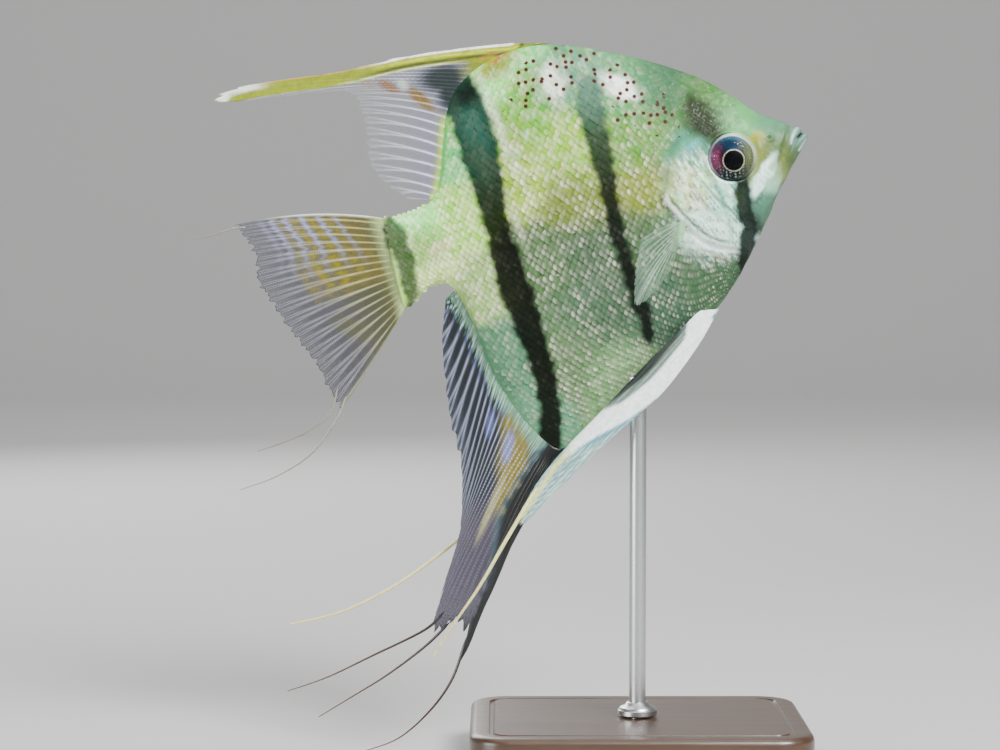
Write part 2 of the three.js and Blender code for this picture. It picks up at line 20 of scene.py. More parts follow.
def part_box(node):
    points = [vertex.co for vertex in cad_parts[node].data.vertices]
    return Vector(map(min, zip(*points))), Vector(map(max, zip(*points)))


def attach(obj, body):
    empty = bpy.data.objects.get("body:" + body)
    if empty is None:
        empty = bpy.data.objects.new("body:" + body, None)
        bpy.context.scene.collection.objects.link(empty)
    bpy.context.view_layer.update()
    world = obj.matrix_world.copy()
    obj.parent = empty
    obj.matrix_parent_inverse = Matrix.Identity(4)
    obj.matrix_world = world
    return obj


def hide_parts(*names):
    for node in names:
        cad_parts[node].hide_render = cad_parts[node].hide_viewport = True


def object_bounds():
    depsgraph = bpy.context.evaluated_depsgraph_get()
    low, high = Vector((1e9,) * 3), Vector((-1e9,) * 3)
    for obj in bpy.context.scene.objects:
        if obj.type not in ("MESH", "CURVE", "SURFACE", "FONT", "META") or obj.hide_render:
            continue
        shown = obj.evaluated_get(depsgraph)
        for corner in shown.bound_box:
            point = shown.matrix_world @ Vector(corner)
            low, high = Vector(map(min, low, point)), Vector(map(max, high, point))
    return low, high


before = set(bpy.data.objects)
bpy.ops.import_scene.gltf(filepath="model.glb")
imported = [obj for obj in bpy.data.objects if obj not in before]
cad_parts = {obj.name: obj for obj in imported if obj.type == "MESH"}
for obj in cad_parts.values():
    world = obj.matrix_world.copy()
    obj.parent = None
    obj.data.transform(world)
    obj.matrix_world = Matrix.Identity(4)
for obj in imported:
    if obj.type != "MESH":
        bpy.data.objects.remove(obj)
CAD_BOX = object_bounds()

Array = np.ndarray
Line = Sequence[tuple[float, ...]]
MM = 0.001
LOG = logging.getLogger("angelfish")

# Stations of the body, from the lips to the tail fin: a point of the back, a point of the belly, the
# half-width between them and how sharp the keel is.
STATIONS = (
    (0.99, 0.025, 0.996, -0.009, 0.015, 0.9),
    (0.972, 0.041, 0.976, -0.031, 0.027, 1.0),
    (0.937, 0.069, 0.932, -0.075, 0.041, 1.0),
    (0.904, 0.094, 0.89, -0.122, 0.053, 1.05),
    (0.862, 0.145, 0.846, -0.172, 0.067, 1.1),
    (0.806, 0.204, 0.8, -0.222, 0.079, 1.15),
    (0.735, 0.258, 0.74, -0.282, 0.087, 1.2),
    (0.66, 0.305, 0.672, -0.331, 0.091, 1.25),
    (0.576, 0.351, 0.583, -0.357, 0.09, 1.3),
    (0.5, 0.384, 0.5, -0.408, 0.085, 1.4),
    (0.418, 0.404, 0.402, -0.461, 0.077, 1.5),
    (0.325, 0.396, 0.3, -0.517, 0.066, 1.6),
    (0.246, 0.361, 0.228, -0.55, 0.055, 1.8),
    (0.205, 0.312, 0.183, -0.497, 0.048, 1.9),
    (0.177, 0.249, 0.148, -0.409, 0.043, 1.8),
    (0.15, 0.182, 0.125, -0.303, 0.039, 1.5),
    (0.122, 0.134, 0.116, -0.183, 0.036, 1.3),
    (0.095, 0.114, 0.095, -0.092, 0.033, 1.1),
    (0.05, 0.107, 0.052, -0.075, 0.028, 1.0),
    (0.015, 0.109, 0.012, -0.093, 0.022, 1.0),
    (-0.008, 0.112, -0.028, -0.112, 0.014, 1.0),
)

# Rays of each fin, from its front edge to its rear edge: the ray's root and its tip.
DORSAL_RAYS = (
    (0.47, 0.396, 0.4, 0.417),
    (0.418, 0.403, 0.3, 0.437),
    (0.37, 0.401, 0.15, 0.461),
    (0.325, 0.396, -0.01, 0.473),
    (0.285, 0.384, -0.15, 0.495),
    (0.262, 0.372, -0.262, 0.508),
    (0.245, 0.361, -0.304, 0.487),
    (0.232, 0.348, -0.055, 0.437),
    (0.218, 0.33, -0.003, 0.418),
    (0.2, 0.302, 0.012, 0.392),
    (0.183, 0.265, 0.013, 0.358),
    (0.166, 0.222, 0.008, 0.31),
    (0.148, 0.18, -0.004, 0.255),
    (0.125, 0.14, 0.01, 0.2),
    (0.105, 0.12, 0.06, 0.135),
)
ANAL_RAYS = (
    (0.28, -0.52, 0.256, -0.548),
    (0.26, -0.53, 0.222, -0.574),
    (0.242, -0.538, 0.188, -0.6),
    (0.226, -0.543, 0.148, -0.632),
    (0.213, -0.547, 0.05, -0.724),
    (0.203, -0.542, -0.14, -0.946),
    (0.197, -0.535, -0.116, -0.893),
    (0.19, -0.52, -0.13, -0.857),
    (0.184, -0.5, -0.176, -0.868),
    (0.178, -0.478, -0.189, -0.852),
    (0.17, -0.452, -0.155, -0.8),
    (0.16, -0.425, -0.132, -0.762),
    (0.148, -0.398, -0.095, -0.71),
    (0.135, -0.368, -0.058, -0.65),
    (0.127, -0.33, -0.03, -0.575),
    (0.123, -0.285, -0.006, -0.488),
    (0.119, -0.235, -0.003, -0.4),
    (0.115, -0.18, 0.012, -0.31),
    (0.106, -0.13, 0.035, -0.205),
    (0.098, -0.1, 0.072, -0.115),
)
CAUDAL_RAYS = (
    (-0.008, 0.11, -0.352, 0.2),
    (-0.01, 0.085, -0.345, 0.18),
    (-0.011, 0.06, -0.335, 0.15),
    (-0.011, 0.038, -0.329, 0.112),
    (-0.01, 0.018, -0.341, 0.062),
    (-0.01, -0.002, -0.33, 0.018),
    (-0.011, -0.022, -0.317, -0.032),
    (-0.013, -0.042, -0.3, -0.083),
    (-0.016, -0.062, -0.281, -0.13),
    (-0.02, -0.08, -0.266, -0.178),
    (-0.025, -0.098, -0.256, -0.24),
    (-0.029, -0.11, -0.243, -0.292),
)
PELVIC_RAYS = (
    (0.676, -0.334, 0.489, -0.48),
    (0.667, -0.333, 0.322, -0.556),
    (0.659, -0.331, 0.193, -0.622),
    (0.652, -0.329, 0.09, -0.676),
    (0.646, -0.327, 0.096, -0.643),
    (0.64, -0.325, 0.192, -0.561),
    (0.635, -0.323, 0.345, -0.474),
    (0.63, -0.321, 0.49, -0.392),
)
PECTORAL_RAYS = (
    (0.657, -0.101, 0.548, -0.112),
    (0.654, -0.11, 0.52, -0.165),
    (0.65, -0.12, 0.5, -0.215),
    (0.646, -0.13, 0.492, -0.255),
    (0.642, -0.138, 0.535, -0.243),
    (0.64, -0.146, 0.6, -0.196),
)

# Where the fins' trailing filaments run: x and z, and how far they stray to the side, in mm.
CAUDAL_FILAMENTS = (
    ((-0.33, 0.187, 0), (-0.361, 0.193, 0), (-0.406, 0.192, 0.2), (-0.455, 0.195, 0.4)),
    ((-0.235, -0.24, 0), (-0.27, -0.291, -0.3), (-0.332, -0.319, -0.8), (-0.407, -0.327, -1.2),
     (-0.462, -0.328, -1.5)),
    ((-0.22, -0.262, 0), (-0.26, -0.312, 0.2), (-0.341, -0.372, 0.6), (-0.436, -0.4, 1.0),
     (-0.532, -0.406, 1.3)),
)
ANAL_FILAMENTS = (
    ((-0.15, -0.826, 0), (-0.21, -0.855, 0), (-0.352, -0.877, -0.7), (-0.464, -0.893, -1.2),
     (-0.564, -0.896, -1.6)),
    ((-0.145, -0.854, 0), (-0.219, -0.893, 0.3), (-0.325, -0.933, 1.0), (-0.42, -0.959, 1.5),
     (-0.516, -0.984, 1.8)),
    ((-0.118, -0.9, 0), (-0.18, -0.986, 0), (-0.255, -1.044, -0.4), (-0.346, -1.084, -0.8),
     (-0.438, -1.089, -1.0)),
)
RIGHT_PELVIC_FILAMENT = (
    (0.15, -0.6, 4.6), (0.042, -0.699, 5.2), (-0.047, -0.782, 5.6), (-0.125, -0.845, 5.8),
    (-0.205, -0.913, 5.8),
)
LEFT_PELVIC_FILAMENT = (
    (0.17, -0.578, 4.6), (0.036, -0.634, 5.4), (-0.111, -0.695, 6.2), (-0.25, -0.742, 6.8),
    (-0.393, -0.766, 7.2), (-0.522, -0.759, 7.4),
)

# The pelvic fin's white spine: x, z and half-width.
SPINE_LINE = (
    (0.648, -0.349, 0.015), (0.570, -0.404, 0.019), (0.492, -0.455, 0.021),
    (0.393, -0.493, 0.02), (0.318, -0.515, 0.014), (0.267, -0.535, 0.008),
    (0.214, -0.561, 0.006), (0.158, -0.604, 0.005), (0.085, -0.664, 0.005),
)

# Creases of the head, in x and z.
GAPE_LINE = (
    (1.004, 0.02), (0.998, 0.018), (0.985, 0.009), (0.973, 0.001), (0.952, -0.02), (0.938, -0.036),
)
LIP_LINE = (
    (0.984, 0.06), (0.972, 0.048), (0.96, 0.025), (0.935, -0.01), (0.92, -0.035), (0.905, -0.06),
    (0.893, -0.081),
)
GILL_LINE = (
    (0.746, 0.078), (0.71, 0.077), (0.681, 0.061), (0.666, 0.029), (0.65, -0.009), (0.63, -0.04),
    (0.64, -0.069), (0.652, -0.097), (0.669, -0.125), (0.693, -0.161), (0.723, -0.185), (0.767, -0.204),
    (0.794, -0.22),
)
CHEEK_LINE = (
    (0.749, 0.048), (0.745, 0.012), (0.746, -0.026), (0.757, -0.068), (0.761, -0.117), (0.759, -0.16),
    (0.745, -0.183),
)
JAW_LINE = ((0.925, -0.075), (0.895, -0.115), (0.862, -0.138), (0.835, -0.17), (0.812, -0.205))


def smooth(low: float, high: float, value: Array) -> Array:
    """Share of the way from low (0) to high (1), eased at both ends."""
    share = np.clip((value - low) / (high - low), 0, 1)
    return share * share * (3 - 2 * share)


def bell(value: Array, width: float) -> Array:
    """A bell of height 1 about zero that falls to 1/e at width."""
    return np.exp(-((value / width) ** 2))


def linear(code: str) -> Array:
    """Linear red, green and blue of a colour written as six hexadecimal digits."""
    channels = np.array([int(code[i:i + 2], 16) / 255 for i in (0, 2, 4)])
    return np.where(channels <= 0.04045, channels / 12.92, ((channels + 0.055) / 1.055) ** 2.4)


def curve_rows(table: Line, place: Array) -> Array:
    """Smoothly blended rows of a table.

    Args:
        table: rows of equal length.
        place: where to read, from 0 (first row) to 1 (last row).

    Returns:
        One row for each place, blended as a Catmull-Rom curve through the table's rows.
    """
    rows = np.asarray(table, float)
    last = len(rows) - 1
    spot = np.clip(place, 0, 1) * last
    index = np.clip(np.floor(spot).astype(int), 0, last - 1)
    share = (spot - index)[..., None]
    a, b, c, d = (rows[np.clip(index + k, 0, last)] for k in (-1, 0, 1, 2))
    return b + 0.5 * share * (c - a + share * (2 * a - 5 * b + 4 * c - d + share * (3 * (b - c) + d - a)))


def nearest_on(line: Line, x: Array, z: Array, steps: int = 40) -> tuple[Array, Array, Array]:
    """How places lie beside a smooth line.

    Args:
        line: points of the line, in x and z.
        x: places along the fish.
        z: heights of the places.
        steps: straight stretches that stand for the curve.

    Returns:
        The distance to the line, the side (1 left of its run, -1 right) and the share of the line's
        points at which the nearest spot lies.
    """
    points = curve_rows([row[:2] for row in line], np.linspace(0, 1, steps + 1))
    best = np.full(x.shape, np.inf)
    side = np.ones(x.shape)
    share = np.zeros(x.shape)
    for k, (start, end) in enumerate(zip(points[:-1], points[1:])):
        run = end - start
        along = np.clip(((x - start[0]) * run[0] + (z - start[1]) * run[1]) / (run @ run), 0, 1)
        gap = np.hypot(x - start[0] - along * run[0], z - start[1] - along * run[1])
        nearer = gap < best
        turn = run[0] * (z - start[1]) - run[1] * (x - start[0])
        best = np.where(nearer, gap, best)
        side = np.where(nearer, np.sign(turn), side)
        share = np.where(nearer, (k + along) / steps, share)
    return best, side, share


def wander(x: Array, z: Array, pitch: float, seed: int) -> Array:
    """A smooth irregular field between about -1 and 1 that repeats nowhere near.

    Args:
        x: places along the fish.
        z: heights of the places.
        pitch: rough distance from one rise to the next.
        seed: picks the field.

    Returns:
        The field's value at each place.
    """
    dice = np.random.default_rng(seed)
    total = np.zeros(np.shape(x))
    for _ in range(7):
        angle = dice.uniform(0, 2 * math.pi)
        wave = dice.uniform(0.7, 1.6) * 2 * math.pi / pitch
        total += np.sin(wave * (x * math.cos(angle) + z * math.sin(angle)) + dice.uniform(0, 2 * math.pi))
    return total / 3.2


def layered(base: Array, *layers: tuple[Array, str]) -> Array:
    """A colour with others laid over it, each by its mask."""
    for mask, code in layers:
        base = base + mask[:, None] * (linear(code) - base)
    return base


def plain(code: str, count: int) -> Array:
    """The same colour for a number of places."""
    return np.tile(linear(code), (count, 1))


def deselect() -> None:
    """Leaves object mode tidy, with nothing selected."""
    if bpy.context.object and bpy.context.object.mode != "OBJECT":
        bpy.ops.object.mode_set(mode="OBJECT")
    bpy.ops.object.select_all(action="DESELECT")


def make_active(piece: bpy.types.Object) -> None:
    """Selects one object alone and makes it the active one."""
    deselect()
    piece.select_set(True)
    bpy.context.view_layer.objects.active = piece


def smooth_shaded(piece: bpy.types.Object, angle: float = math.radians(40)) -> None:
    """Shades a piece smooth, apart from edges sharper than an angle."""
    make_active(piece)
    bpy.ops.object.shade_smooth_by_angle(angle=angle)


def at_origin(piece: bpy.types.Object) -> None:
    """Applies a piece's place, turn and scale to its mesh."""
    make_active(piece)
    bpy.ops.object.transform_apply(location=True, rotation=True, scale=True)


def apply_modifiers(piece: bpy.types.Object) -> None:
    """Applies every modifier of a piece."""
    make_active(piece)
    for modifier in list(piece.modifiers):
        bpy.ops.object.modifier_apply(modifier=modifier.name)


def store(piece: bpy.types.Object, name: str, values: Array) -> None:
    """Writes an attribute with one value, or one colour, for each vertex of a piece."""
    if values.ndim == 1:
        piece.data.attributes.new(name, "FLOAT", "POINT").data.foreach_set("value", values.astype(np.float32))
        return
    full = np.ones((len(values), 4), np.float32)
    full[:, :3] = values
    piece.data.attributes.new(name, "FLOAT_COLOR", "POINT").data.foreach_set("color", full.ravel())


def grid_piece(
    name: str,
    columns: int,
    rows: int,
    shape: Callable[[Array, Array], tuple[Array, dict[str, Array]]],
) -> bpy.types.Object:
    """A closed piece bent from a flat grid whose left and right edges meet and whose ends close.

    Args:
        name: the piece's name.
        columns: faces across the grid.
        rows: faces up the grid.
        shape: gives, for shares across and up the grid, the points in metres and the named attributes.

    Returns:
        The piece, with its doubled edges merged and its faces turned outwards.
    """
    deselect()
    bpy.ops.mesh.primitive_grid_add(x_subdivisions=columns, y_subdivisions=rows, size=2, location=(0, 0, 0))
    piece = bpy.context.object
    piece.name = piece.data.name = name
    flat = np.zeros(len(piece.data.vertices) * 3)
    piece.data.vertices.foreach_get("co", flat)
    flat = flat.reshape(-1, 3)
    points, attributes = shape((flat[:, 0] + 1) / 2, (flat[:, 1] + 1) / 2)
    piece.data.vertices.foreach_set("co", points.ravel())
    for key, values in attributes.items():
        store(piece, key, values)
    bpy.ops.object.mode_set(mode="EDIT")
    bpy.ops.mesh.select_all(action="SELECT")
    bpy.ops.mesh.remove_doubles(threshold=2e-6)
    bpy.ops.mesh.normals_make_consistent(inside=False)
    bpy.ops.object.mode_set(mode="OBJECT")
    bpy.ops.object.shade_smooth()
    return piece


def finish_piece(piece: bpy.types.Object, material: bpy.types.Material, slot: str, *nodes: str) -> None:
    """Gives a piece its material and body, and hides the CAD nodes it stands for."""
    piece.data.materials.clear()
    piece.data.materials.append(material)
    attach(piece, "root")
    if nodes:
        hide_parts(*nodes)
    LOG.info("built %s with %d faces", piece.name, len(piece.data.polygons))


class Shader:
    """A material's node tree, built node by node."""

    def __init__(self, name: str) -> None:
        """Starts an empty material of that name."""
        self.material = bpy.data.materials.new(name)
        self.material.use_nodes = True
        self.tree = self.material.node_tree
        self.tree.nodes.clear()

    def node(self, kind: str, sockets: dict | None = None, **settings: object) -> bpy.types.Node:
        """Adds a node.

        Args:
            kind: the node's type, without its ShaderNode prefix.
            sockets: values or sockets for its inputs, by name or place.
            settings: properties of the node itself.

        Returns:
            The new node.
        """
        made = self.tree.nodes.new("ShaderNode" + kind)
        for key, value in settings.items():
            setattr(made, key, value)
        for key, value in (sockets or {}).items():
            if isinstance(value, bpy.types.NodeSocket):
                self.tree.links.new(value, made.inputs[key])
            else:
                made.inputs[key].default_value = value
        return made

    def attribute(self, name: str, output: str = "Fac") -> bpy.types.NodeSocket:
        """Reads one of the mesh's attributes."""
        return self.node("Attribute", attribute_name=name).outputs[output]

    def place(self) -> bpy.types.NodeSocket:
        """The piece's own coordinates, in metres."""
        return self.node("TexCoord").outputs["Object"]

    def noise(self, scale: float, detail: float = 3, vector: bpy.types.NodeSocket | None = None,
              roughness: float = 0.55) -> bpy.types.NodeSocket:
        """A noise pattern between 0 and 1."""
        where = vector or self.place()
        sockets = {"Vector": where, "Scale": scale, "Detail": detail, "Roughness": roughness}
        return self.node("TexNoise", sockets).outputs["Fac"]

    def ramp(self, value: bpy.types.NodeSocket, *stops: tuple[float, float]) -> bpy.types.NodeSocket:
        """Grey levels between stops, each a place and a level."""
        made = self.node("ValToRGB", {"Fac": value})
        elements = made.color_ramp.elements
        while len(elements) < len(stops):
            elements.new(0.5)
        for element, (where, level) in zip(elements, stops):
            element.position = where
            element.color = (level, level, level, 1)
        return made.outputs["Color"]

    def maths(self, operation: str, *values: object) -> bpy.types.NodeSocket:
        """A sum, product or other function of numbers."""
        return self.node("Math", dict(enumerate(values)), operation=operation).outputs[0]

    def mix(self, share: object, a: object, b: object, blend: str = "MIX") -> bpy.types.NodeSocket:
        """A mix of two colours."""
        made = self.node("Mix", {0: share, 6: a, 7: b}, data_type="RGBA", blend_type=blend, clamp_result=True)
        return made.outputs[2]

    def bump(self, height: bpy.types.NodeSocket, strength: float, depth: float,
             below: bpy.types.NodeSocket | None = None) -> bpy.types.NodeSocket:
        """A bumped normal, on top of another if one is given."""
        sockets: dict = {"Height": height, "Strength": strength, "Distance": depth}
        if below:
            sockets["Normal"] = below
        return self.node("Bump", sockets).outputs["Normal"]

    def surface(self, **sockets: object) -> bpy.types.Material:
        """Closes the tree with one Principled shader, whose sockets are given with _ for a space."""
        named = {key.replace("_", " "): value for key, value in sockets.items()}
        shader = self.node("BsdfPrincipled", named)
        self.node("OutputMaterial", {"Surface": shader.outputs[0]})
        return self.material


@dataclass(frozen=True)
class FishFrame:
    """Where the fish's own frame stands in the model, found from its eyes."""

    length: float = 75 * MM
    pitch: float = math.radians(17.1)
    eye: tuple[float, float] = (0.812, 0.006)

    def matrix(self) -> Matrix:
        """The matrix that carries the fish's frame, in metres, into the model's."""
        low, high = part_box("eye_right")
        turn = Matrix.Rotation(-self.pitch, 4, "Y")
        seat = turn @ Vector((self.eye[0] * self.length, 0, self.eye[1] * self.length))
        return Matrix.Translation(Vector(((low.x + high.x) / 2, 0, (low.z + high.z) / 2)) - seat) @ turn

    def placed(self, points: Array) -> Array:
        """Points of the fish's frame, in metres, brought into the model's frame."""
        matrix = np.array(self.matrix())
        return points @ matrix[:3, :3].T + matrix[:3, 3]


class FoldKind(Enum):
    """How the skin rises beside a fold's line."""

    CREST = "crest"
    STEP = "step"


@dataclass(frozen=True)
class Fold:
    """A crease, ridge or step of the head's skin along a line."""

    line: Line
    height: float
    width: float
    shift: float = 0.0
    kind: FoldKind = FoldKind.CREST
    ends: tuple[float, float] = (0.06, 0.9)
    reach: float = 5 * MM

    def rise(self, x: Array, z: Array, length: float) -> Array:
        """How far the fold lifts the skin, in metres.

        Args:
            x: places along the fish, in shares of its length.
            z: heights of the places, in the same shares.
            length: the fish's standard length in metres.

        Returns:
            The lift at each place, negative in a groove.
        """
        distance, side, share = nearest_on(self.line, x, z)
        offset = distance * side * length - self.shift
        fade = smooth(0, self.ends[0], share) * (1 - smooth(self.ends[1], 1, share))
        if self.kind is FoldKind.STEP:
            return self.height * smooth(0, self.width, offset) * bell(np.maximum(offset, 0), self.reach) * fade
        return self.height * bell(offset, self.width) * fade


FOLDS = (
    Fold(GAPE_LINE, -0.6 * MM, 0.24 * MM, ends=(0.0, 0.4)),
    Fold(GAPE_LINE, 0.34 * MM, 0.5 * MM, shift=0.75 * MM, ends=(0.0, 0.25)),
    Fold(GAPE_LINE, 0.34 * MM, 0.5 * MM, shift=-0.75 * MM, ends=(0.0, 0.35)),
    Fold(LIP_LINE, -0.16 * MM, 0.35 * MM, ends=(0.0, 0.7)),
    Fold(LIP_LINE, 0.1 * MM, 0.5 * MM, shift=-0.8 * MM, ends=(0.1, 0.8)),
    Fold(GILL_LINE, 0.26 * MM, 0.3 * MM, kind=FoldKind.STEP, ends=(0.35, 0.93), reach=4.5 * MM),
    Fold(GILL_LINE, 0.1 * MM, 0.3 * MM, shift=0.45 * MM, ends=(0.5, 0.93)),
    Fold(GILL_LINE, -0.3 * MM, 0.4 * MM, shift=-0.35 * MM, ends=(0.2, 0.93)),
    Fold(CHEEK_LINE, -0.24 * MM, 0.4 * MM, ends=(0.1, 0.85)),
    Fold(CHEEK_LINE, 0.14 * MM, 0.6 * MM, shift=0.9 * MM, ends=(0.1, 0.85)),
    Fold(JAW_LINE, -0.2 * MM, 0.4 * MM, ends=(0.2, 0.8)),
)


@dataclass(frozen=True)
class Socket:
    """The pit that an eye sits in and the rim round it."""

    radius: float = 4.08 * MM
    depth: float = 2.3 * MM
    rim: float = 0.16 * MM
    rim_width: float = 0.4 * MM

    def rise(self, away: Array) -> Array:
        """How far the skin is lifted at a distance from the eye's middle, in metres."""
        pit = -self.depth * (1 - smooth(self.radius - 0.2 * MM, self.radius + 0.2 * MM, away))
        rim = self.rim * bell(away - self.radius - 0.4 * MM, self.rim_width)
        return pit + rim - 0.1 * MM * bell(away - self.radius - 1.6 * MM, 0.8 * MM)


@dataclass(frozen=True)
class Body:
    """The body's form, as the CAD draws it, with the folds of its skin."""

    fish: FishFrame
    ridge: float = 0.4 * MM
    back_sharpness: float = 1.2
    coat_depth: float = 0.15 * MM
    socket: Socket = Socket()
    nostril: tuple[float, float] = (0.912, 0.026)

    def station(self, place: Array) -> tuple[Array, Array, Array, Array]:
        """Back point, belly point, half-width and keel sharpness at places from head (0) to tail (1)."""
        row = curve_rows(STATIONS, place)
        length = self.fish.length
        return row[..., 0:2] * length, row[..., 2:4] * length, row[..., 4] * length, row[..., 5]

    def reach(self, half: Array, keel: Array, rise: Array) -> Array:
        """Distance of the flank from the mid-plane, from the belly (rise 0) to the back (1)."""
        curve = 2 * np.sqrt(np.clip(rise * (1 - rise), 0, None))
        return half * curve ** (keel + (self.back_sharpness - keel) * rise) + self.ridge * np.sqrt(curve)

    def surface(self, place: Array, angle: Array, inset: float) -> Array:
        """Points of the body's surface.

        Args:
            place: from the head (0) to the tail (1).
            angle: from the belly (0) round the right flank to the back (pi) and down the left one.
            inset: how far inside the surface, in metres.

        Returns:
            Points in the fish's frame.
        """
        back, belly, half, keel = self.station(place)
        rise = (1 - np.cos(angle)) / 2
        across = np.abs(np.sin(angle))
        up = (back - belly) / np.linalg.norm(back - belly, axis=-1, keepdims=True)
        flat = belly + (back - belly) * rise[..., None] + up * (inset * np.cos(angle))[..., None]
        away = np.clip(self.reach(half, keel, rise) - inset * across ** 0.3, 0, None)
        return np.stack([flat[..., 0], -np.sign(np.sin(angle)) * away * (across > 1e-6), flat[..., 1]], -1)

    def locate(self, x: Array, z: Array) -> tuple[Array, Array]:
        """Place (head 0, tail 1) and rise (belly 0, back 1) of points given in shares of the length."""
        point = np.stack([x, z], -1) * self.fish.length
        low = np.zeros(x.shape)
        high = np.ones(x.shape)
        for _ in range(22):
            middle = (low + high) / 2
            back, belly, _, _ = self.station(middle)
            up = back - belly
            gap = point - belly
            ahead = up[..., 1] * gap[..., 0] - up[..., 0] * gap[..., 1] > 0
            high = np.where(ahead, middle, high)
            low = np.where(ahead, low, middle)
        back, belly, _, _ = self.station(low)
        up = back - belly
        rise = ((point - belly) * up).sum(-1) / (up * up).sum(-1)
        return low, rise

    def relief(self, x: Array, z: Array) -> Array:
        """Lift of the skin by its folds and the eye's socket, in metres, at shares of the length."""
        length = self.fish.length
        lift = np.zeros(x.shape)
        head = x > 0.58
        hx, hz = x[head], z[head]
        away = np.hypot(hx - self.fish.eye[0], hz - self.fish.eye[1]) * length
        total = sum(fold.rise(hx, hz, length) for fold in FOLDS)
        total = total * smooth(self.socket.radius, self.socket.radius + 0.8 * MM, away)
        pit = np.hypot(hx - self.nostril[0], hz - self.nostril[1]) * length
        total += -0.4 * MM * bell(pit, 0.28 * MM) + 0.12 * MM * bell(pit - 0.55 * MM, 0.22 * MM)
        total += 0.035 * MM * wander(hx, hz, 0.035, 5) * smooth(0.62, 0.7, hx)
        lift[head] = total + self.socket.rise(away)
        return lift

    def flank(self, x: Array, z: Array) -> Array:
        """Distance of the skin from the mid-plane, in metres, at shares of the length."""
        place, rise = self.locate(x, z)
        _, _, half, keel = self.station(place)
        return self.reach(half, keel, np.clip(rise, 0, 1)) - self.coat_depth + self.relief(x, z)


@dataclass(frozen=True)
class Wash:
    """A region of the fish with its ground colour, its metallic gloss and how strongly its scales carry painted glints.
    """

    name: str
    x: float
    z: float
    reach: float
    colour: str
    gloss: float = 0.3
    glint: float = 0.6


@dataclass(frozen=True)
class Patch:
    """A soft-edged oval of colour over the ground."""

    x: float
    z: float
    long: float
    wide: float
    turn: float
    colour: str
    strength: float
    softness: float = 0.5
    gloss: float | None = None

    def mask(self, x: Array, z: Array) -> Array:
        """How strongly the patch covers each place."""
        cos, sin = math.cos(math.radians(self.turn)), math.sin(math.radians(self.turn))
        along = ((x - self.x) * cos + (z - self.z) * sin) / self.long
        across = (-(x - self.x) * sin + (z - self.z) * cos) / self.wide
        out = np.hypot(along, across)
        return self.strength * (1 - smooth(1 - self.softness, 1 + self.softness, out))


@dataclass(frozen=True)
class Stroke:
    """A fine line of colour that follows one of the head's creases."""

    line: Line
    half: float
    colour: str
    strength: float
    shift: float = 0.0
    ends: tuple[float, float] = (0.08, 0.9)

    def mask(self, x: Array, z: Array) -> Array:
        """How strongly the line covers each place."""
        distance, side, share = nearest_on(self.line, x, z)
        fade = smooth(self.ends[0] - 0.08, self.ends[0], share) * (1 - smooth(self.ends[1], self.ends[1] + 0.08, share))
        return self.strength * bell(distance * side - self.shift, self.half) * fade


@dataclass(frozen=True)
class Bar:
    """A dark bar along a line of x, z and half-width."""

    line: Line
    colour: str
    strength: float
    upper_colour: str
    edge: float = 0.009

    def mask(self, x: Array, z: Array) -> Array:
        """How strongly the bar covers each place."""
        distance, side, share = nearest_on(self.line, x, z)
        half = np.interp(share, np.linspace(0, 1, len(self.line)), [row[2] for row in self.line])
        ragged = 0.0015 * wander(x, z, 0.025, 11) + 0.004 * wander(x, z, 0.05, 12)
        return self.strength * (1 - smooth(-self.edge, self.edge, distance - half + ragged))


